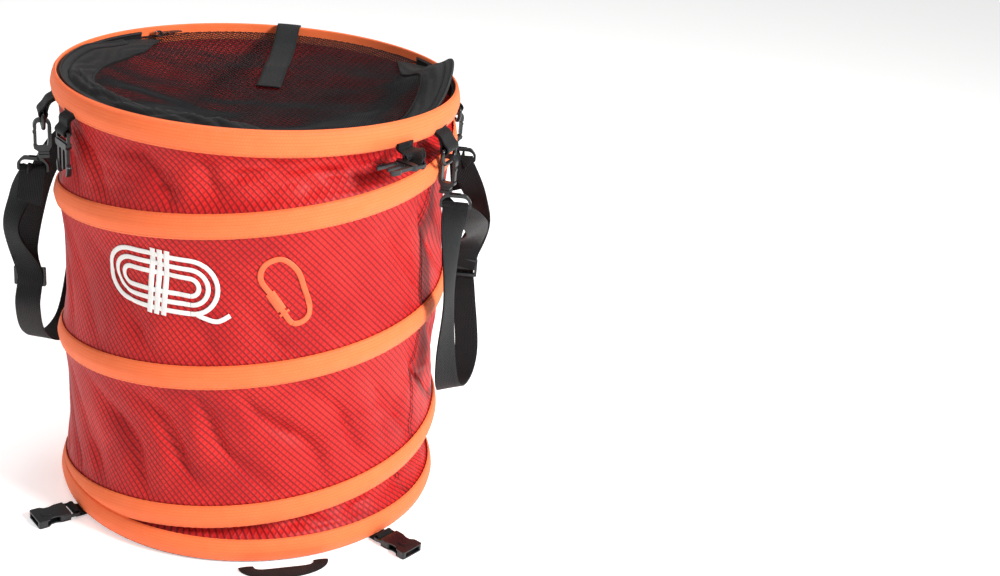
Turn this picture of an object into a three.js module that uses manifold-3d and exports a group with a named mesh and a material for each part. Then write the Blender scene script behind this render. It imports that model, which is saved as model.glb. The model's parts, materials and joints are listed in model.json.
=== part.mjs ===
// Collapsible rope storage bag: a spring-wire bucket with a zipped mesh lid, two carry straps on
// snap hooks, and three side-release buckles that hold it flat when it is folded.
// Millimetres, +Z up. The origin is the centre of the underside of the base; the front faces -Y.
import * as THREE from 'three';
import { mergeVertices } from 'three/addons/utils/BufferGeometryUtils.js';
import Module from 'manifold-3d';

const wasm = await Module();
wasm.setup();

// ---- driving dimensions ----
const BAG_RADIUS = 195.7;        // outside of the wall fabric
const BAG_HEIGHT = 448.5;        // floor to the top edge of the rim tape
const WALL_THICKNESS = 1.5;
const BASE_THICKNESS = 2;
const TAPE_WIDTH = 25;           // casing tape on the base ring, the coil and the rim ring
const TAPE_DEPTH = 5;            // how far the tape stands off the wall over its wire
const TAPE_SKIN = 1.15;          // tape over the wire
const TAPE_SHOULDER = [2.4, 6];  // how deep and how wide the tape slopes at its edges
const WIRE_DIAMETER = 2.5;
const COIL_PITCH = 152;
const COIL_START_DEG = -110;     // where the coil leaves the base tape
const COIL_MARK_DEG = -81;       // where the coil's height is measured
const COIL_LIFT = 16;            // base tape's upper edge to the coil tape's lower edge there
const COIL_HEADROOM = 12;        // least height left between the coil's tape and the rim tape
const GAP = 0.3;                 // clearance between pieces that touch
const WEBBING_WIDTH = 25;        // shoulder straps and ring tabs
const NARROW_WEBBING = 20;       // buckle tabs
const WEBBING_THICKNESS = 1.8;
const BAR_WIDTH = 3.6;           // bars that webbing loops run round
const BAR_THICKNESS = 3.2;
const LOOP_CLEARANCE = 0.4;      // webbing loop round its bar
const LOOP_WALL = 1.3;           // narrow webbing round a bar, its bend pressed thin
const WIDE_LOOP_WALL = 1.4;      // wide webbing round a bar
const BAR_DROP = 12.7;           // rim tape to the bars that hang below it
const BUCKLE_LENGTH = 42;
const RING_DROP = 15;            // ring bar to the ring's lower bar
const RING_BAR = 4;
const HOOK_THICKNESS = 7;
const HOOK_WINDOW = 10;          // clear width inside a snap hook
const HOOK_WALL = 3.5;           // bar and gate of the hook
const HOOK_SEAT = 4.2;           // ring bar's centre to the window's inner side
const STRAP_DROP = 221;          // hook eye to the lowest point of a hanging strap
const LID_SAG = 34;              // rim to the middle of the mesh
const LID_THICKNESS = 1.2;
const LID_CREST = 30;            // how far the lid's edge stands up at the right
const LID_HINGE_DEG = 40;        // the lid is sewn down behind this azimuth on both sides
const LID_BELOW_RIM = 9;         // top of the rim down to the lid's edge
const ZIP_TAPE_WIDTH = 9;        // the lid's half of the zip
const ZIP_RIM_WIDTH = 17;        // the rim's half of the zip
const ZIP_RIM_THICKNESS = 1.9;
const BORDER_WIDTH = 23;         // solid cloth between the net and the zip

// ---- stations round the bag, as azimuths in degrees ----
const BUCKLE_STATIONS = { right: -39, left: -141, back: 90 };
const RING_STATIONS = { right_front: -21, right_back: 21, left_front: 201, left_back: 159 };
const HANDLE_DEG = -71;
const SEAM_DEG = -23;
const SLIDER_DEG = 135;

// ---- derived sizes ----
const FACETS = 36;
const STEP_DEG = 360 / FACETS;
const WALL_INSIDE = BAG_RADIUS - WALL_THICKNESS;
const TAPE_INSIDE = BAG_RADIUS + GAP;
const TAPE_OUTSIDE = TAPE_INSIDE + TAPE_DEPTH;
const WIRE_RADIUS = WIRE_DIAMETER / 2;
const WIRE_CENTRE = TAPE_OUTSIDE - TAPE_SKIN - WIRE_RADIUS - 2 * GAP;
const POCKET_OUTSIDE = WIRE_CENTRE + WIRE_RADIUS + 2 * GAP;
const POCKET_HALF = WIRE_RADIUS + GAP;
const WALL_BOTTOM = BASE_THICKNESS + 0.5;
const BASE_TAPE_Z = WALL_BOTTOM + TAPE_WIDTH / 2;
const COIL_MARK_Z = BASE_TAPE_Z + TAPE_WIDTH + COIL_LIFT;
const RIM_TAPE_Z = BAG_HEIGHT - TAPE_WIDTH / 2;
const RIM_TAPE_BOTTOM = BAG_HEIGHT - TAPE_WIDTH;
const INNER_LIMIT = WALL_INSIDE - GAP;
const LOOP_HOLE = Math.hypot(BAR_WIDTH, BAR_THICKNESS) / 2 + LOOP_CLEARANCE;
const LOOP_OUTSIDE = LOOP_HOLE + LOOP_WALL;
const RING_LOOP_HOLE = Math.hypot(RING_BAR, RING_BAR) / 2 + LOOP_CLEARANCE;
const RING_LOOP_OUTSIDE = RING_LOOP_HOLE + WIDE_LOOP_WALL;
const TAB_TOP = RIM_TAPE_BOTTOM - GAP;
const BAR_Z = TAB_TOP - BAR_DROP;
const HOOK_REACH = HOOK_WALL + HOOK_SEAT;          // ring bar to the inner edge of the hook
const RING_RADIUS = TAPE_OUTSIDE + GAP + HOOK_REACH;
const BUCKLE_BAR_RADIUS = TAPE_OUTSIDE + GAP + LOOP_OUTSIDE;
const LID_EDGE_Z = BAG_HEIGHT - LID_BELOW_RIM;
const LID_EDGE_RADIUS = INNER_LIMIT - ZIP_RIM_THICKNESS - GAP;
const MESH_RADIUS = LID_EDGE_RADIUS - ZIP_TAPE_WIDTH - BORDER_WIDTH;
const HINGE_Y = INNER_LIMIT * Math.sin(THREE.MathUtils.degToRad(LID_HINGE_DEG));

// ---- colours ----
function finish(color, roughness, metalness = 0) {
  return () => new THREE.MeshStandardMaterial({ color, roughness, metalness });
}
const orangeTape = finish(0xf4804f, 0.75);
const redFabric = finish(0xc8201f, 0.6);
const blackFabric = finish(0x1b1c1f, 0.85);
const blackWebbing = finish(0x17181a, 0.8);
const blackPlastic = finish(0x202428, 0.4);
const springSteel = finish(0x8a8d90, 0.35, 1);

const bag = new THREE.Group();

// ---- helpers ----
const rad = THREE.MathUtils.degToRad;

function add(parent, name, geometry, material) {
  const mesh = new THREE.Mesh(geometry, material());
  mesh.name = name;
  parent.add(mesh);
  return mesh;
}

// A frame on the bag: its X points out from the axis, its Y runs round the bag, its Z is up.
function station(degrees, radius = 0, z = 0) {
  const place = new THREE.Group();
  place.rotation.z = rad(degrees);
  place.position.set(radius * Math.cos(rad(degrees)), radius * Math.sin(rad(degrees)), z);
  bag.add(place);
  return place;
}

function outline(points, holes = []) {
  const shape = new THREE.Shape(points.map(([x, y]) => new THREE.Vector2(x, y)));
  shape.holes = holes.map((hole) => new THREE.Path(hole.map(([x, y]) => new THREE.Vector2(x, y))));
  return shape;
}

function circle(x, y, radius, sides = 8) {
  const points = [];
  for (let i = 0; i < sides; i += 1) {
    const angle = (i + 0.5) * (2 * Math.PI / sides);
    points.push([x + radius * Math.cos(angle), y + radius * Math.sin(angle)]);
  }
  return points;
}

function rectangle(x0, y0, x1, y1) {
  return [[x0, y0], [x1, y0], [x1, y1], [x0, y1]];
}

// A plate of the outline, centred on its own plane.
function plate(shape, thickness) {
  const geometry = new THREE.ExtrudeGeometry(shape, { depth: thickness, bevelEnabled: false });
  return geometry.translate(0, 0, -thickness / 2);
}

// The outline stands in the plane of X (outwards) and Z; its thickness runs round the bag.
function sideways(shape, width) {
  return plate(shape, width).rotateX(Math.PI / 2);
}

// A closed ring round the bag's axis from a profile of [radius, height] points, counter-clockwise.
function ring(profile) {
  const points = profile.map(([radius, height]) => new THREE.Vector2(radius, height));
  if (profile[0][0] > 0) points.push(points[0].clone());
  return new THREE.LatheGeometry(points, FACETS).rotateX(Math.PI / 2);
}

// A profile of [radius, height] swept round the axis from one azimuth to another.
function band(profile, startDeg, endDeg, heightAt, stepDeg = STEP_DEG) {
  const span = endDeg - startDeg;
  const steps = Math.round(span / stepDeg);
  const options = { depth: span, steps, bevelEnabled: false };
  const geometry = new THREE.ExtrudeGeometry(outline(profile), options);
  const place = geometry.attributes.position;
  for (let i = 0; i < place.count; i += 1) {
    const azimuth = Math.round((endDeg - place.getZ(i)) * 1000) / 1000;
    const radius = place.getX(i);
    const height = place.getY(i) + heightAt(azimuth, radius);
    place.setXYZ(i, radius * Math.cos(rad(azimuth)), radius * Math.sin(rad(azimuth)), height);
  }
  return geometry;
}

function solid(geometry) {
  const bare = geometry.clone();
  bare.deleteAttribute('normal');
  bare.deleteAttribute('uv');
  const merged = mergeVertices(bare, 1e-4);
  const vertProperties = new Float32Array(merged.attributes.position.array);
  const triVerts = new Uint32Array(merged.index.array);
  return new wasm.Manifold(new wasm.Mesh({ numProp: 3, vertProperties, triVerts }));
}

function surface(body) {
  const mesh = body.getMesh();
  const geometry = new THREE.BufferGeometry();
  geometry.setAttribute('position', new THREE.BufferAttribute(new Float32Array(mesh.vertProperties), 3));
  geometry.setIndex(new THREE.BufferAttribute(new Uint32Array(mesh.triVerts), 1));
  const flat = geometry.toNonIndexed();
  flat.computeVertexNormals();
  return flat;
}

function joined(...geometries) {
  return surface(geometries.map(solid).reduce((whole, next) => whole.add(next)));
}

function cut(geometry, ...tools) {
  return surface(tools.map(solid).reduce((whole, next) => whole.subtract(next), solid(geometry)));
}

function block(x0, y0, z0, x1, y1, z1) {
  const box = new THREE.BoxGeometry(x1 - x0, y1 - y0, z1 - z0);
  return box.translate((x0 + x1) / 2, (y0 + y1) / 2, (z0 + z1) / 2);
}

// ---- casing tape with an open pocket for its wire on the side of the wall ----
function tapeProfile(centre) {
  const half = TAPE_WIDTH / 2;
  const [deep, wide] = TAPE_SHOULDER;
  const shoulder = TAPE_OUTSIDE - deep;
  return [
    [TAPE_INSIDE, centre - half], [shoulder, centre - half], [TAPE_OUTSIDE, centre - half + wide],
    [TAPE_OUTSIDE, centre + half - wide], [shoulder, centre + half], [TAPE_INSIDE, centre + half],
    [TAPE_INSIDE, centre + POCKET_HALF], [POCKET_OUTSIDE, centre + POCKET_HALF],
    [POCKET_OUTSIDE, centre - POCKET_HALF], [TAPE_INSIDE, centre - POCKET_HALF],
  ];
}

function wireProfile(centre) {
  return circle(WIRE_CENTRE, centre, WIRE_RADIUS, 6);
}

function coilHeight(azimuth) {
  return COIL_MARK_Z + COIL_PITCH * (azimuth - COIL_MARK_DEG) / 360;
}

// The coil ends on a facet edge of the rings, at the last one that leaves its headroom.
const COIL_TOP_Z = RIM_TAPE_BOTTOM - COIL_HEADROOM - TAPE_WIDTH / 2;
const COIL_END_DEG = STEP_DEG * Math.floor(
  (COIL_MARK_DEG + 360 * (COIL_TOP_Z - COIL_MARK_Z) / COIL_PITCH) / STEP_DEG,
);

// ---- bucket: base, rings, coil and wall ----
add(bag, 'base_panel', ring([
  [0, 0], [INNER_LIMIT, 0], [INNER_LIMIT, BASE_THICKNESS], [0, BASE_THICKNESS],
]), blackFabric);
add(bag, 'base_ring_wire', ring(wireProfile(BASE_TAPE_Z)), springSteel);
add(bag, 'base_binding', ring(tapeProfile(BASE_TAPE_Z)), orangeTape);
add(bag, 'wall_fabric', ring(rectangle(WALL_INSIDE, WALL_BOTTOM, BAG_RADIUS, BAG_HEIGHT - 1)), redFabric);
add(bag, 'coil_wire', band(wireProfile(0), COIL_START_DEG, COIL_END_DEG, coilHeight), springSteel);
add(bag, 'coil_binding', band(tapeProfile(0), COIL_START_DEG, COIL_END_DEG, coilHeight), orangeTape);
add(bag, 'rim_ring_wire', ring(wireProfile(RIM_TAPE_Z)), springSteel);
add(bag, 'rim_binding', ring(tapeProfile(RIM_TAPE_Z)), orangeTape);

const SEAM_WIDTH = 12;
const SEAM_THICKNESS = 1.2;
const seamInside = WALL_INSIDE * Math.cos(rad(STEP_DEG / 2)) - GAP;
add(station(SEAM_DEG), 'side_seam_tape', block(
  seamInside - SEAM_THICKNESS, -SEAM_WIDTH / 2, WALL_BOTTOM, seamInside, SEAM_WIDTH / 2, RIM_TAPE_BOTTOM,
), blackWebbing);

// ---- webbing tabs: a strip that ends in a loop round a bar ----
// The loop's centre is at [loopX, loopZ]; the strip runs to the edge between the two end points.
function tabOutline(loopX, loopZ, outside, hole, ends, fromDeg, toDeg) {
  const points = [...ends];
  const arcSteps = 7;
  for (let i = 0; i <= arcSteps; i += 1) {
    const angle = rad(fromDeg + (toDeg - fromDeg) * i / arcSteps);
    points.push([loopX + outside * Math.cos(angle), loopZ + outside * Math.sin(angle)]);
  }
  return outline(points, [circle(loopX, loopZ, hole, 10)]);
}

function rimTab(name, degrees, width, barRadius, outside, hole) {
  const ends = [[TAPE_INSIDE + 2.2, TAB_TOP], [TAPE_INSIDE + GAP, TAB_TOP]];
  const shape = tabOutline(barRadius, BAR_Z, outside, hole, ends, 190, 400);
  add(station(degrees), name, sideways(shape, width), blackWebbing);
}

// ---- side-release buckles, drawn flat: X across, Y along, the bar's axis at Y = 0 ----
const BUCKLE_HALF = NARROW_WEBBING / 2 + 2.6;
const SLOT_HALF = NARROW_WEBBING / 2 + 0.5;
const SLOT_END = LOOP_OUTSIDE + 4;
const FEMALE_THICKNESS = 8;

function maleBuckle() {
  const bar = BAR_WIDTH / 2;
  const half = BUCKLE_HALF;
  const rightSide = [
    [half, -bar], [half, 13], [10.4, 15], [10.4, 30], [12.4, 33], [11.4, 39], [9.6, BUCKLE_LENGTH],
    [7.4, BUCKLE_LENGTH], [6.6, 16.5], [1.9, 16.5], [1.5, 37],
  ];
  const leftSide = rightSide.map(([x, y]) => [-x, y]).reverse();
  const slot = rectangle(-SLOT_HALF, bar, SLOT_HALF, SLOT_END);
  return plate(outline([...rightSide, ...leftSide], [slot]), BAR_THICKNESS);
}

function femaleBuckle() {
  const bar = BAR_WIDTH / 2;
  const rightSide = [
    [BUCKLE_HALF - 0.6, SLOT_END], [BUCKLE_HALF - 0.6, 17], [10.2, 23], [10.6, 28], [14, 31],
    [14, BUCKLE_LENGTH - 1.5], [12, BUCKLE_LENGTH],
  ];
  const leftSide = rightSide.map(([x, y]) => [-x, y]).reverse();
  const body = plate(outline([...rightSide, ...leftSide]), FEMALE_THICKNESS).translate(0, 0, -0.1);
  const side = BUCKLE_HALF - 0.6;
  const frameShape = outline(
    rectangle(-side, -bar, side, SLOT_END + 1),
    [rectangle(-SLOT_HALF, bar, SLOT_HALF, SLOT_END)],
  );
  const mouth = block(-9.6, 19, -2.7, 9.6, BUCKLE_LENGTH + 1, 2.5);
  return cut(joined(body, plate(frameShape, BAR_THICKNESS)), mouth);
}

// Piece axes in a station's frame: where its X, Y and Z point.
function turned(geometry, x, y, z) {
  const basis = new THREE.Matrix4().makeBasis(
    new THREE.Vector3(...x), new THREE.Vector3(...y), new THREE.Vector3(...z),
  );
  return geometry.applyMatrix4(basis);
}

const OUT = [1, 0, 0];
const ROUND = [0, 1, 0];
const BACK_ROUND = [0, -1, 0];
const IN = [-1, 0, 0];
const UP = [0, 0, 1];
const DOWN = [0, 0, -1];

// The left and back buckles hang straight down from their tabs.
for (const side of ['left', 'back']) {
  const degrees = BUCKLE_STATIONS[side];
  rimTab(`buckle_tab_${side}`, degrees, NARROW_WEBBING, BUCKLE_BAR_RADIUS, LOOP_OUTSIDE, LOOP_HOLE);
  const place = station(degrees, BUCKLE_BAR_RADIUS, BAR_Z);
  add(place, `male_buckle_${side}`, turned(maleBuckle(), ROUND, DOWN, IN), blackPlastic);
}

// The right buckle lies level: its tab is twisted a quarter turn, so its bar points outwards.
const LEVEL_BAR_RADIUS = TAPE_OUTSIDE + 2 * GAP + BUCKLE_HALF;
const LEVEL_BAR_Z = BAR_Z + 2;
{
  const place = station(BUCKLE_STATIONS.right);
  const inner = LEVEL_BAR_RADIUS - NARROW_WEBBING / 2;
  const outer = LEVEL_BAR_RADIUS + NARROW_WEBBING / 2;
  const loop = outline(circle(0, LEVEL_BAR_Z, LOOP_OUTSIDE, 10), [circle(0, LEVEL_BAR_Z, LOOP_HOLE, 10)]);
  const loopTop = LEVEL_BAR_Z + LOOP_OUTSIDE;
  const loopBody = turned(plate(loop, NARROW_WEBBING), ROUND, UP, OUT).translate(LEVEL_BAR_RADIUS, 0, 0);
  const twist = outline([
    [inner, loopTop - 0.8], [outer, loopTop - 0.8], [outer, loopTop + 1], [TAPE_OUTSIDE + 4, TAB_TOP],
    [TAPE_INSIDE + GAP, TAB_TOP], [TAPE_INSIDE + GAP, TAB_TOP - 3],
  ]);
  add(place, 'buckle_tab_right', joined(loopBody, sideways(twist, 3)), blackWebbing);
  const buckle = station(BUCKLE_STATIONS.right, LEVEL_BAR_RADIUS, LEVEL_BAR_Z);
  add(buckle, 'male_buckle_right', turned(maleBuckle(), OUT, BACK_ROUND, DOWN), blackPlastic);
}

// ---- base buckles lie on the floor, on tabs sewn under the base tape ----
const FLOOR_BAR_RADIUS = TAPE_OUTSIDE + GAP + LOOP_OUTSIDE;
const FLOOR_BAR_Z = GAP + LOOP_OUTSIDE;
for (const [side, degrees] of Object.entries(BUCKLE_STATIONS)) {
  const ends = [[INNER_LIMIT + GAP, WALL_BOTTOM - GAP], [INNER_LIMIT + GAP, GAP]];
  const shape = tabOutline(FLOOR_BAR_RADIUS, FLOOR_BAR_Z, LOOP_OUTSIDE, LOOP_HOLE, ends, -90, 213);
  add(station(degrees), `base_tab_${side}`, sideways(shape, NARROW_WEBBING), blackWebbing);
  const place = station(degrees, FLOOR_BAR_RADIUS, FLOOR_BAR_Z);
  add(place, `female_buckle_${side}`, turned(femaleBuckle(), BACK_ROUND, OUT, UP), blackPlastic);
}

// ---- base handle: a bowed strip lying on the floor in front ----
function halfEllipse(across, outwards, sides = 10) {
  const points = [];
  for (let i = 0; i <= sides; i += 1) {
    const angle = -Math.PI / 2 + Math.PI * i / sides;
    points.push([outwards * Math.cos(angle), across * Math.sin(angle)]);
  }
  return points;
}
{
  const outerEdge = halfEllipse(46, 25);
  const innerEdge = halfEllipse(28, 9).reverse();
  const place = station(HANDLE_DEG, TAPE_OUTSIDE + 1.3, GAP + WEBBING_THICKNESS / 2);
  add(place, 'base_handle', plate(outline([...outerEdge, ...innerEdge]), WEBBING_THICKNESS), blackWebbing);
}

// ---- strap hardware on the rim: tab, ring, snap hook, gate and swivel eye ----
function dRing() {
  const half = WEBBING_WIDTH / 2 + 4.5;
  const bar = RING_BAR / 2;
  const low = RING_DROP + bar;
  const edge = [
    [-half, -bar], [half, -bar], [half, low - 5], [half - 5, low], [5 - half, low], [-half, low - 5],
  ];
  const inside = half - RING_BAR;
  const hole = [
    [-inside, bar], [inside, bar], [inside, low - 7], [inside - 3, low - 4], [3 - inside, low - 4], [-inside, low - 7],
  ];
  return plate(outline(edge, [hole]), RING_BAR);
}

// X points out from the bag and Y is up, measured from the ring's lower bar.
const HOOK_INNER = -HOOK_REACH;
const WINDOW_INNER = HOOK_INNER + HOOK_WALL;
const WINDOW_OUTER = WINDOW_INNER + HOOK_WINDOW;
const HOOK_OUTER = WINDOW_OUTER + HOOK_WALL;
const WINDOW_TOP = 4.6;
const WINDOW_LOW = -20;
const GATE_TOP = -3.2;
const GATE_LOW = -17.5;
const NECK_LOW = -31;

function hookBody() {
  return outline([
    [WINDOW_OUTER, GATE_TOP + GAP], [HOOK_OUTER, GATE_TOP + GAP], [HOOK_OUTER, 4], [WINDOW_OUTER - 1, 8.2],
    [WINDOW_INNER, 8.2], [HOOK_INNER, 4.5], [HOOK_INNER, -20], [-4.5, -24.5], [-4.5, NECK_LOW],
    [4.5, NECK_LOW], [4.5, -24.5], [HOOK_OUTER, -21.5], [HOOK_OUTER, GATE_LOW - GAP],
    [WINDOW_OUTER, GATE_LOW - GAP], [WINDOW_OUTER, WINDOW_LOW], [WINDOW_INNER, WINDOW_LOW],
    [WINDOW_INNER, WINDOW_TOP], [WINDOW_OUTER, WINDOW_TOP],
  ].reverse());
}

// The gate's inner lower corner is cut, so that it swings in without meeting the hook's foot.
function hookGate() {
  const inner = WINDOW_OUTER + GAP;
  const outer = HOOK_OUTER - GAP;
  return outline([
    [inner + 0.9, GATE_LOW], [outer, GATE_LOW], [outer, GATE_TOP], [inner, GATE_TOP], [inner, GATE_LOW + 0.9],
  ]);
}

const EYE_TOP = NECK_LOW - GAP;
const EYE_HEIGHT = 14.7;
const EYE_LOW = EYE_TOP - EYE_HEIGHT;
const EYE_BAR = 3.5;
const EYE_DEPTH = 4;
const EYE_LOOP_HOLE = Math.hypot(EYE_BAR, EYE_DEPTH) / 2 + LOOP_CLEARANCE;
const EYE_LOOP_OUTSIDE = EYE_LOOP_HOLE + WIDE_LOOP_WALL;
const HOOK_Z = BAR_Z - RING_DROP;
const EYE_BAR_Z = HOOK_Z + EYE_LOW + EYE_BAR / 2;
const EYE_HALF = WEBBING_WIDTH / 2 + 3;
const STRAP_LEAN = 0.1;          // how much a strap leans out from the bag on its way down

function eyeFrame() {
  const hole = rectangle(-WEBBING_WIDTH / 2 - 0.5, EYE_LOW + EYE_BAR, WEBBING_WIDTH / 2 + 0.5, EYE_TOP - 3.5);
  const shape = outline(rectangle(-EYE_HALF, EYE_LOW, EYE_HALF, EYE_TOP), [hole]);
  return plate(shape, EYE_DEPTH).rotateX(Math.PI / 2);
}

const STATION_X = RING_RADIUS * Math.cos(rad(RING_STATIONS.right_back));
const STATION_Y = RING_RADIUS * Math.sin(rad(RING_STATIONS.right_back));
const STRAP_X = STATION_X + 10.4;

for (const [name, degrees] of Object.entries(RING_STATIONS)) {
  rimTab(`ring_tab_${name}`, degrees, WEBBING_WIDTH, RING_RADIUS, RING_LOOP_OUTSIDE, RING_LOOP_HOLE);
  const ringPlace = station(degrees, RING_RADIUS, BAR_Z);
  add(ringPlace, `d_ring_${name}`, turned(dRing(), ROUND, DOWN, IN), blackPlastic);
  const hookPlace = station(degrees, RING_RADIUS, HOOK_Z);
  add(hookPlace, `snap_hook_${name}`, sideways(hookBody(), HOOK_THICKNESS), blackPlastic);
  add(hookPlace, `hook_gate_${name}`, sideways(hookGate(), HOOK_THICKNESS - 2), blackPlastic);
  const eyePlace = new THREE.Group();
  const side = Math.sign(Math.cos(rad(degrees)));
  eyePlace.position.set(side * STRAP_X, RING_RADIUS * Math.sin(rad(degrees)), HOOK_Z);
  bag.add(eyePlace);
  add(eyePlace, `swivel_eye_${name}`, eyeFrame(), blackPlastic);
}

// ---- shoulder straps: a hanging U of webbing between two eyes, drawn in the plane of Y and Z ----
const STRAP_LOW = EYE_BAR_Z - STRAP_DROP;
const STRAIGHT_LOW = { y: STATION_Y - 17, z: STRAP_LOW + 64 };
const STRAP_ROUTE = [
  [-STATION_Y, EYE_BAR_Z - EYE_LOOP_OUTSIDE + 0.8], [-STATION_Y + 5, EYE_BAR_Z - 62],
  [-STATION_Y + 15, STRAP_LOW + 48], [-STATION_Y + 38, STRAP_LOW + 12], [-STATION_Y + 66, STRAP_LOW],
  [STATION_Y - 46, STRAP_LOW + 8], [STATION_Y - 24, STRAP_LOW + 34], [STRAIGHT_LOW.y, STRAIGHT_LOW.z],
  [STATION_Y, EYE_BAR_Z - EYE_LOOP_OUTSIDE + 0.8],
];

function ribbon(route, thickness) {
  const sides = [[], []];
  route.forEach((point, i) => {
    const before = route[Math.max(i - 1, 0)];
    const after = route[Math.min(i + 1, route.length - 1)];
    const along = new THREE.Vector2(after[0] - before[0], after[1] - before[1]).normalize();
    sides[0].push([point[0] + along.y * thickness / 2, point[1] - along.x * thickness / 2]);
    sides[1].unshift([point[0] - along.y * thickness / 2, point[1] + along.x * thickness / 2]);
  });
  return outline([...sides[0], ...sides[1]]);
}

// Turns a shape drawn in (Y, Z) into a solid of the given width along X.
function across(shape, width) {
  return turned(plate(shape, width), ROUND, UP, OUT);
}

function lean(geometry, centreX) {
  const place = geometry.attributes.position;
  for (let i = 0; i < place.count; i += 1) {
    const below = EYE_BAR_Z - EYE_LOOP_OUTSIDE - place.getZ(i);
    place.setX(i, place.getX(i) + centreX + STRAP_LEAN * Math.max(below, 0));
  }
  geometry.computeVertexNormals();
  return geometry;
}

function strap() {
  const loops = [-1, 1].map((side) => {
    const centre = [side * STATION_Y, EYE_BAR_Z];
    return outline(circle(...centre, EYE_LOOP_OUTSIDE, 10), [circle(...centre, EYE_LOOP_HOLE, 10)]);
  });
  const parts = [ribbon(STRAP_ROUTE, WEBBING_THICKNESS), ...loops];
  return joined(...parts.map((shape) => across(shape, WEBBING_WIDTH)));
}

// The strap slider rides on the straight leg near the back eye.
const SLIDER_Z = STRAIGHT_LOW.z + 38;
const LEG_SLOPE = (STATION_Y - STRAIGHT_LOW.y) / (EYE_BAR_Z - EYE_LOOP_OUTSIDE + 0.8 - STRAIGHT_LOW.z);
const SLIDER_Y = STRAIGHT_LOW.y + LEG_SLOPE * (SLIDER_Z - STRAIGHT_LOW.z);

function strapSlider() {
  const half = WEBBING_WIDTH / 2;
  const shape = outline(
    rectangle(-half - 3.4, -4.2, half + 3.4, 4.2),
    [rectangle(-half - 0.9, -1.9, half + 0.9, 1.9)],
  );
  const tube = plate(shape, 13);
  tube.rotateX(-Math.atan(LEG_SLOPE));
  const place = tube.attributes.position;
  for (let i = 0; i < place.count; i += 1) {
    place.setX(i, place.getX(i) - STRAP_LEAN * place.getZ(i));
  }
  return tube;
}

for (const [side, sign] of [['right', 1], ['left', -1]]) {
  const place = new THREE.Group();
  if (sign < 0) place.rotation.z = Math.PI;
  bag.add(place);
  add(place, `shoulder_strap_${side}`, lean(strap(), STRAP_X), blackWebbing);
  const slider = add(place, `strap_slider_${side}`, strapSlider(), blackPlastic);
  const below = EYE_BAR_Z - EYE_LOOP_OUTSIDE - SLIDER_Z;
  slider.position.set(STRAP_X + STRAP_LEAN * below, SLIDER_Y, SLIDER_Z);
}

// ---- lid: a sagging mesh in a fabric border, zipped to the rim round the front ----
function sag(radius) {
  const share = Math.min(radius / LID_EDGE_RADIUS, 1);
  return LID_EDGE_Z - LID_SAG * (1 - share * share);
}

function dish(inner, outer, thickness, steps) {
  const radii = [];
  for (let i = 0; i <= steps; i += 1) radii.push(inner + (outer - inner) * i / steps);
  const low = radii.map((radius) => [radius, sag(radius) - thickness]);
  const high = radii.map((radius) => [radius, sag(radius)]).reverse();
  return [...low, ...high];
}

function crest(azimuth, radius) {
  const away = Math.abs(((azimuth + 180) % 360) - 180 - 5) / 32;
  if (away >= 1) return 0;
  const rise = Math.cos(away * Math.PI / 2) ** 2;
  return LID_CREST * rise * Math.min((radius - MESH_RADIUS) / (LID_EDGE_RADIUS - MESH_RADIUS) + 0.15, 1);
}

const SEWN_START = 180 - LID_HINGE_DEG;
const SEWN_END = 360 + LID_HINGE_DEG;
const ZIP_TAPE = LID_EDGE_RADIUS + GAP;
const ZIP_LID_START = SEWN_START + STEP_DEG;     // short of the hinge, so that the lid swings clear
const ZIP_LID_END = SEWN_END - STEP_DEG;
const ZIP_LID_TOP = LID_EDGE_Z + 0.8;
add(bag, 'zip_rim_tape', band(
  rectangle(ZIP_TAPE, BAG_HEIGHT - 3 - ZIP_RIM_WIDTH, INNER_LIMIT, BAG_HEIGHT - 3),
  SEWN_START, SEWN_END, () => 0,
), blackFabric);
add(bag, 'zip_lid_tape', band(
  rectangle(LID_EDGE_RADIUS - ZIP_TAPE_WIDTH, LID_EDGE_Z - 0.8, LID_EDGE_RADIUS, ZIP_LID_TOP),
  ZIP_LID_START, ZIP_LID_END, () => 0,
), blackFabric);
const BORDER_OUTER = LID_EDGE_RADIUS - ZIP_TAPE_WIDTH - GAP;
const big = 2 * BAG_RADIUS;
const behindHinge = block(-big, HINGE_Y - GAP, 0, big, big, 2 * BAG_HEIGHT);
const wholeBorder = band(
  dish(MESH_RADIUS + GAP, BORDER_OUTER, LID_THICKNESS, 2), SEWN_START - STEP_DEG, SEWN_END + STEP_DEG, crest,
);
add(bag, 'lid_border', cut(wholeBorder, behindHinge), blackFabric);

const meshDisc = ring([
  [0, sag(0) - LID_THICKNESS], ...dish(MESH_RADIUS / 3, MESH_RADIUS, LID_THICKNESS, 2), [0, sag(0)],
]);
add(bag, 'lid_mesh', cut(meshDisc, behindHinge), blackFabric);
const backDisc = ring([
  [0, sag(0) - LID_THICKNESS], ...dish(MESH_RADIUS / 3, INNER_LIMIT, LID_THICKNESS, 3), [0, sag(0)],
]);
const beforeHinge = block(-big, -big, 0, big, HINGE_Y + GAP, 2 * BAG_HEIGHT);
add(bag, 'lid_back_panel', cut(backDisc, beforeHinge), blackFabric);

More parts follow.
